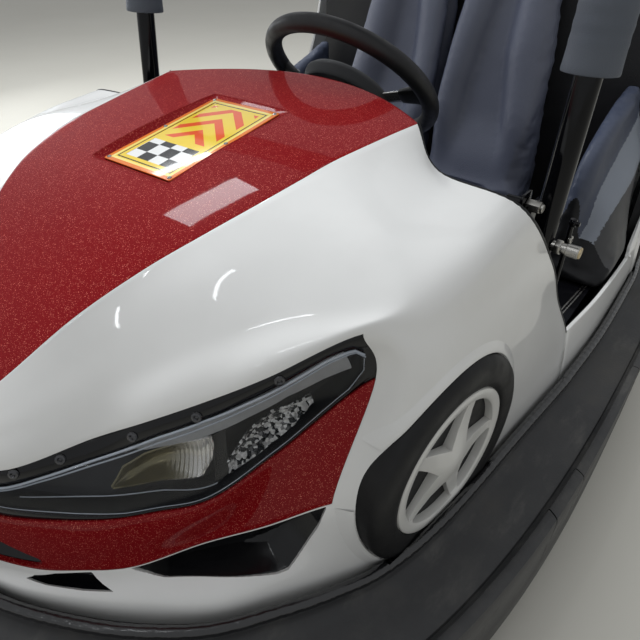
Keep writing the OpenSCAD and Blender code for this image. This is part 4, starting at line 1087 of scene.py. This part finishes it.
rod_path = ((0.4500, -0.100, 0.574), (0.4500, -0.099, 0.560), (0.4500, -0.098, 0.541),
            (0.4500, -0.096, 0.515), (0.450, -0.098, 0.490), (0.449, -0.090, 0.440),
            (0.446, -0.070, 0.395), (0.442, -0.050, 0.360), (0.440, -0.044, 0.337))
plate_x, plate_t, plate_top, ledge_top = post_half - 0.028, 0.006, 0.595, 0.335
upright = Matrix.Rotation(pi / 2, 4, "Y")
for side, word in ((1, "left"), (-1, "right")):
    turn = Matrix.Translation((side * plate_x, pivot.y, (plate_top + ledge_top) / 2)) @ upright
    low, high = (0, plate_t) if side > 0 else (-plate_t, 0)
    bracket = prism(f"pivot_plate_{word}", rounded((plate_top - ledge_top) / 2, 0.050, 0.018), turn,
                    low, high, coat_black, 0.001)
    fasten(bracket, "gloss_black_steel", "hoop_brackets")
    lug = prism(f"stop_lug_{word}", rounded(0.022, 0.018, 0.008),
                Matrix.Translation((side * 0.398, -0.168, 0.602)) @ upright, -0.002, 0.002,
                coat_black, 0.0006)
    fasten(lug, "gloss_black_steel", "hoop_brackets")
    for n, (y, z, inner, outer, r, sides, finish) in enumerate(bracket_bars):
        fasten(bar(f"{word}_{n}", r, side, y, z, inner, outer, finish, sides), "bright_steel",
               "hoop_brackets")
    rod = tube(f"stay_rod_{word}", [(side * x, y, z) for x, y, z in rod_path], 0.0036, coat_black,
               16)
    fasten(rod, "gloss_black_steel", "hoop_brackets")
    for n, (x0, y0, x1, y1) in enumerate(((0.4380, -0.080, 0.4560, 0.212),
                                          (0.4445, -0.080, 0.4610, 0.205))):
        along = Vector((side * (x1 - x0), y1 - y0, 0))
        place = (Matrix.Translation((side * (x0 + x1) / 2, (y0 + y1) / 2, ledge_top))
                 @ along.to_track_quat("X", "Z").to_matrix().to_4x4())
        fasten(prism(f"wear_strip_{word}_{n}", rounded(along.length / 2, 0.0013, 0.0008), place,
                     0.0, 0.0020, zinc), "bright_steel")

# Seats: blow-moulded shells under padded vinyl, each back with two fat rolls beside a sunken panel.
# The covers are pulled over the foam and stapled under the shell, which gives them slight folds.
vinyl = Finish("vinyl_blue_grey", Specular_IOR_Level=0.75)
vinyl.set(Base_Color=vinyl.mix(vinyl.noise(5.0, 4.0).ramp(0.3, 0.7),
                               (0.078, 0.086, 0.122), (0.098, 0.108, 0.150)))
vinyl.matt(12.0, 0.34, 0.52, 4.0, high=0.75)
vinyl.bump(vinyl.cells(900.0), 0.0003)
vinyl_grey = Finish("vinyl_grey", Specular_IOR_Level=0.7)
vinyl_grey.two_tone(6.0, (0.185, 0.205, 0.240), (0.225, 0.248, 0.290), 4.0)
vinyl_grey.matt(12.0, 0.36, 0.54, 4.0, high=0.75)
vinyl_grey.bump(vinyl_grey.cells(900.0), 0.0003)
# Darker copies of the wings' vinyl for their inner walls and outer faces: painted shade.
wall_shade_vinyl = Finish("vinyl_blue_wall_shade", Base_Color=(0.050, 0.060, 0.092))
wall_shade_vinyl.matt(12.0, 0.36, 0.52, 4.0, high=0.75)
outer_shade_vinyl = Finish("vinyl_grey_outer_shade", Base_Color=(0.050, 0.050, 0.052))
outer_shade_vinyl.matt(12.0, 0.40, 0.56, 4.0, high=0.75)


def smooth_line(points, count):
    """A smooth run of count points through the given 2-D or 3-D points."""
    p = np.array(points, float)
    p = np.concatenate([2 * p[:1] - p[1:2], p, 2 * p[-1:] - p[-2:-1]])
    spans = len(p) - 3
    t = np.linspace(0, spans, count)
    k = np.clip(np.floor(t), 0, spans - 1).astype(int)
    f = (t - k)[:, None]
    a, b, c, d = (p[k + n] for n in range(4))
    square, cube = 2 * a - 5 * b + 4 * c - d, 3 * b - a - 3 * c + d
    return 0.5 * (2 * b + (c - a) * f + square * f**2 + cube * f**3)


def pressed(piece, hold, pressure, cap, voxel=0.0065, frames=20):
    """A cover blown up as cloth: hold(points) is how firmly each is kept, cap its longest way."""
    vinyl_kind = piece.data.materials[0]
    refine(piece, ("REMESH", {"mode": "VOXEL", "voxel_size": voxel, "use_smooth_shade": True}),
           ("SMOOTH", {"factor": 0.5, "iterations": 6}))
    piece.data.materials.clear()
    piece.data.materials.append(vinyl_kind)
    start = np.array([v.co[:] for v in piece.data.vertices])
    kept_by = piece.vertex_groups.new(name="held")
    for n, share in enumerate(hold(start)):
        kept_by.add([n], float(share), "REPLACE")
    cloth = piece.modifiers.new("cover", "CLOTH")
    cloth.settings.use_pressure, cloth.settings.uniform_pressure_force = True, pressure
    cloth.settings.vertex_group_mass = "held"
    cloth.settings.tension_stiffness = cloth.settings.compression_stiffness = 12
    cloth.settings.shrink_min = -0.012
    cloth.settings.effector_weights.gravity = 0
    cloth.collision_settings.use_collision = False
    for step in range(1, frames + 1):
        scene.frame_set(step)
    settled = finished_mesh(piece)
    scene.frame_set(1)
    move = np.array([v.co[:] for v in settled.vertices]) - start
    far = np.linalg.norm(move, axis=1)[:, None]
    move *= np.minimum(1.0, cap / np.maximum(far, 1e-9))
    piece.modifiers.clear()
    piece.vertex_groups.clear()
    piece.data.vertices.foreach_set("co", (start + move).ravel())
    piece.data.update()
    return refine(piece, ("SUBSURF", {"levels": 1, "render_levels": 1}))


def mirrored(piece, name):
    """A mirror copy of a piece across the middle plane."""
    copy = bpy.data.objects.new(name, piece.data.copy())
    copy.data.transform(Matrix.Diagonal((-1, 1, 1, 1)))
    copy.data.flip_normals()
    scene.collection.objects.link(copy)
    return copy


seat_z, seat_w, seat_gap = 0.3353, 0.244, 0.024
# Side view of the padded face, from under the cushion's nose up to the back's top: (y, z).
seat_face = ((0.056, 0.338), (0.051, 0.395), (0.072, 0.422), (0.145, 0.418), (0.205, 0.410),
             (0.245, 0.410), (0.272, 0.436), (0.292, 0.490), (0.318, 0.566), (0.356, 0.690),
             (0.397, 0.830), (0.432, 0.945), (0.452, 0.990))
seat_back = ((0.474, 0.990), (0.486, 0.962), (0.462, 0.850), (0.420, 0.680), (0.371, 0.486),
             (0.334, 0.352), (0.292, 0.339), (0.180, 0.3385), (0.080, 0.338))
# The back narrows upwards: height, inner edge, outer edge, middles of the inner and outer roll.
narrowing = np.array(((0.330, 0.0, 0.244, 0.024, 0.212), (0.470, 0.0, 0.244, 0.024, 0.208),
                      (0.520, 0.0, 0.238, 0.024, 0.200), (0.600, 0.0, 0.226, 0.023, 0.183),
                      (0.680, 0.001, 0.217, 0.030, 0.163), (0.787, 0.010, 0.196, 0.045, 0.158),
                      (0.880, 0.028, 0.178, 0.060, 0.147), (0.950, 0.044, 0.162, 0.070, 0.137),
                      (1.000, 0.064, 0.142, 0.078, 0.129)))
columns, face_count, back_count, roll_r, edge_slope = 97, 150, 70, 0.038, 0.6
roll_high, panel_deep, edge_round, edge_push = 0.031, 0.013, 0.020, 0.017
front_line, back_line = smooth_line(seat_face, face_count), smooth_line(seat_back, back_count)
heights = np.concatenate([front_line, back_line])[:, 1]
tangent = np.gradient(front_line, axis=0)
normal = np.stack([-tangent[:, 1], tangent[:, 0]], axis=1)
normal /= np.linalg.norm(normal, axis=1)[:, None]
inner_x, outer_x, roll_in, roll_out = (
    np.interp(heights, narrowing[:, 0], narrowing[:, n]) for n in range(1, 5))
on_back = np.clip((front_line[:, 1] - 0.450) / 0.13, 0, 1)
on_back = on_back * (np.arange(face_count) > face_count // 3)
on_back = on_back * on_back * (3 - 2 * on_back)
loops = []
for u in np.linspace(0, 1, columns):
    x = inner_x + (outer_x - inner_x) * u
    xf = x[:face_count]
    inside, outside = roll_in[:face_count] - xf, xf - roll_out[:face_count]
    near = np.minimum(*(np.where(gap > 0, edge_slope * gap, -gap)
                        for gap in (inside, outside))) / roll_r
    roll = np.clip(1 - near**2, 0, 1) ** 0.8
    cushion = 0.006 * np.sin(pi * u) ** 0.5 - 0.004
    rise = on_back * (roll_high * roll - panel_deep) + (1 - on_back) * cushion
    outline = np.concatenate([front_line + normal * rise[:, None], back_line])
    edge_share = min(1, min(u, 1 - u) * seat_w / edge_round)
    round_off = edge_push * (1 - sqrt(1 - (1 - edge_share) ** 2))
    step = np.roll(outline, -1, axis=0) - np.roll(outline, 1, axis=0)
    push = np.stack([-step[:, 1], step[:, 0]], axis=1)
    outline = outline - push / np.maximum(np.linalg.norm(push, axis=1), 1e-9)[:, None] * round_off
    loops.append([(seat_gap / 2 + px, y, z) for px, (y, z) in zip(x, outline)])
seat_left = loft("seat_left_cover", loops, vinyl)
pressed(seat_left, lambda p: np.clip((0.40 - p[:, 2]) / 0.05, 0, 1) * 0.9 + 0.06, 3.0, 0.006)
for seat, word in ((seat_left, "left"), (mirrored(seat_left, "seat_right_cover"), "right")):
    fasten(seat, "vinyl_blue_grey", f"seat_{word}")

# Side wings: low padded bolsters beside the seats, stepped up to the rear panel, in grey vinyl.
# Each row is a station along y: outer edge, its height, ridge, its height, step height and wall
# height. Millimetres.
WING = [[152, 478, 350, 436, 356, 362, 366], [170, 484, 358, 438, 392, 400, 470],
        [190, 484, 362, 442, 425, 436, 532], [225, 484, 366, 446, 462, 494, 570],
        [300, 480, 372, 450, 496, 541, 606], [345, 460, 384, 448, 510, 562, 622],
        [385, 449, 400, 443, 528, 582, 636], [425, 440, 440, 436, 545, 605, 648]]
wing_x, wing_step_x, wing_wall_x = 0.372, 0.410, 0.400
foot_from, foot_rise, corner_r = 0.336, 2.4, 0.009
stations = smooth_line(np.array(WING) * MM, 70)


def towards(corner, other):
    """The point where a corner's rounding meets the side that runs to another corner."""
    way = other - corner
    return corner + way * min(0.45, corner_r / max(np.linalg.norm(way), 1e-6))


loops = []
for y, outer, outer_top, ridge, ridge_top, step_top, wall_top in stations:
    foot = seat_z + 0.0015 + max(0.0, y - foot_from) * foot_rise
    corners = [np.array(c) for c in (
        (wing_x, foot), (outer, foot), (outer, max(outer_top, foot + 0.004)), (ridge, ridge_top),
        (wing_step_x, step_top), (wing_wall_x, wall_top), (wing_x, wall_top))]
    loop = []
    for before, corner, after in zip(corners[-1:] + corners[:-1], corners,
                                     corners[1:] + corners[:1]):
        a, b = towards(corner, before), towards(corner, after)
        loop += [(1 - t)**2 * a + 2 * t * (1 - t) * corner + t**2 * b for t in np.linspace(0, 1, 7)]
    loops.append([(x, y, z) for x, z in loop])
first, nose_middle = loops[0], np.mean(loops[0], axis=0)
for share, push in ((0.93, 0.004), (0.78, 0.008), (0.5, 0.0105)):
    loops.insert(0, [tuple(nose_middle + (np.array(p) - nose_middle) * share
                           - np.array([0, push, 0]))
                     for p in first])
wing_left = loft("wing_left_cover", loops[::-1], vinyl_grey)
pressed(wing_left, lambda p: 0.08 + 0.9 * (np.clip((0.36 - p[:, 2]) / 0.02, 0, 1)
                                           + np.clip((p[:, 1] - 0.41) / 0.01, 0, 1)), 2.0, 0.003)
for wing, word in ((wing_left, "left"), (mirrored(wing_left, "wing_right_cover"), "right")):
    # A wing's faces are coloured by the way they face. The up-facing band keeps the grey vinyl, the
    # inner wall and the outer face below the ridge take darker copies as painted shade, and the
    # front end takes soft black as painted shadow.
    for extra in (soft_black, wall_shade_vinyl, outer_shade_vinyl):
        wing.data.materials.append(extra.material)
    for face in wing.data.polygons:
        x, y, z = abs(face.center.x), face.center.y, face.center.z
        ridge_z, step_z = (np.interp(y, stations[:, 0], stations[:, column]) for column in (4, 5))
        facet = 3 if z < ridge_z - 0.003 else (2 if z > step_z + 0.001 or x < 0.409 else 0)
        face.material_index = 1 if y < 0.181 + 0.10 * (x - 0.44) else facet
    fasten(wing, "vinyl_grey", f"wing_{word}")

# Mat ribs: the floor mat is moulded rubber with half-round ribs across it, one every 18 mm.
def rib_row(name, finish, start, **sizes):
    """A row of round bars along X, made by Geometry Nodes and turned into a plain mesh."""
    tree = bpy.data.node_groups.new(name, "GeometryNodeTree")
    tree.interface.new_socket("Geometry", in_out="INPUT", socket_type="NodeSocketGeometry")
    kinds = {"Count": "NodeSocketInt", "Material": "NodeSocketMaterial"}
    sizes["Material"] = finish.material
    sockets = {label: tree.interface.new_socket(
        label, in_out="INPUT", socket_type=kinds.get(label, "NodeSocketFloat")) for label in sizes}
    tree.interface.new_socket("Geometry", in_out="OUTPUT", socket_type="NodeSocketGeometry")
    entry, end = tree.nodes.new("NodeGroupInput"), tree.nodes.new("NodeGroupOutput")
    step, line, bar, turn, place, real, paint = (tree.nodes.new(kind) for kind in (
        "ShaderNodeCombineXYZ", "GeometryNodeMeshLine", "GeometryNodeMeshCylinder",
        "GeometryNodeTransform", "GeometryNodeInstanceOnPoints", "GeometryNodeRealizeInstances",
        "GeometryNodeSetMaterial"))
    line.inputs["Start Location"].default_value = start
    turn.inputs["Rotation"].default_value = (0, pi / 2, 0)
    bar.inputs["Vertices"].default_value = 16
    for source, out, target, into in (
            (entry, "Pitch", step, "Y"), (entry, "Count", line, "Count"),
            (step, "Vector", line, "Offset"), (entry, "Radius", bar, "Radius"),
            (entry, "Length", bar, "Depth"), (bar, "Mesh", turn, "Geometry"),
            (line, "Mesh", place, "Points"), (turn, "Geometry", place, "Instance"),
            (place, "Instances", real, "Geometry"), (real, "Geometry", paint, "Geometry"),
            (entry, "Material", paint, "Material"), (paint, "Geometry", end, "Geometry")):
        tree.links.new(source.outputs[out], target.inputs[into])
    row = bpy.data.objects.new(name, bpy.data.meshes.new(name))
    scene.collection.objects.link(row)
    maker = row.modifiers.new("rows", "NODES")
    maker.node_group = tree
    for label, value in sizes.items():
        maker[sockets[label].identifier] = value
    made = finished_mesh(row)
    row.modifiers.clear()
    row.data = made
    return row


mat_rubber = Finish("mat_rubber", Base_Color=(0.018, 0.018, 0.018), Roughness=0.75)
mat_rubber.bump(mat_rubber.noise(300.0), 0.0003)
rib_pitch, rib_r = 0.018, 0.0024
mat_low, mat_high = (Vector(corner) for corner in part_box("floor_mat"))
fasten(rib_row("floor_mat_ribs", mat_rubber, (0, mat_low.y + rib_pitch, mat_high.z - 0.0008),
               Count=int((mat_high.y - mat_low.y) / rib_pitch) - 1, Pitch=rib_pitch,
               Length=mat_high.x - mat_low.x - 0.024, Radius=rib_r), "mat_rubber")

# Parts whose CAD shape stays: each gets its own finish.
cockpit_black = Finish("cockpit_black", Base_Color=(0.016, 0.016, 0.018))
cockpit_black.matt(20.0, 0.36, 0.55)
cockpit_black.bump(cockpit_black.cells(500.0), 0.0004)
pan_paint = Finish("pan_paint")
pan_dust = pan_paint.noise(7.0, 6.0).ramp(0.4, 0.75)
pan_paint.set(Base_Color=pan_paint.mix(pan_dust, (0.018, 0.018, 0.019), (0.07, 0.066, 0.06)),
              Roughness=pan_dust.ramp(0, 1, 0.38, 0.75))
casting = Finish("casting", Metallic=0.75)
casting.two_tone(30.0, (0.10, 0.10, 0.105), (0.17, 0.165, 0.16), 5.0)
casting.matt(50.0, 0.4, 0.6)
casting.bump(casting.noise(260.0), 0.0008)
battery_case = Finish("battery_case", Base_Color=(0.03, 0.03, 0.034))
battery_case.matt(14.0, 0.4, 0.6)
tread = Finish("tread_rubber", Base_Color=(0.014, 0.014, 0.014))
tread.matt(12.0, 0.6, 0.8)
tread.bump(tread.noise(120.0), 0.001)
kept = {cockpit_black: "rear_panel dash bulkhead seat_base",
        pan_paint: "chassis drive_mount rear_brackets", mat_rubber: "floor_mat",
        coat_black: "side_ledges column_tube", battery_case: "battery_pack",
        casting: "steering_gearbox drive_fork drive_motor drive_hub",
        steel: "foot_pedal steering_shaft drive_axle",
        tread: "drive_tyre rear_wheel_left rear_wheel_right"}
for finish, names in kept.items():
    for name in names.split():
        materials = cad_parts[name].data.materials
        materials.clear()
        materials.append(finish.material)
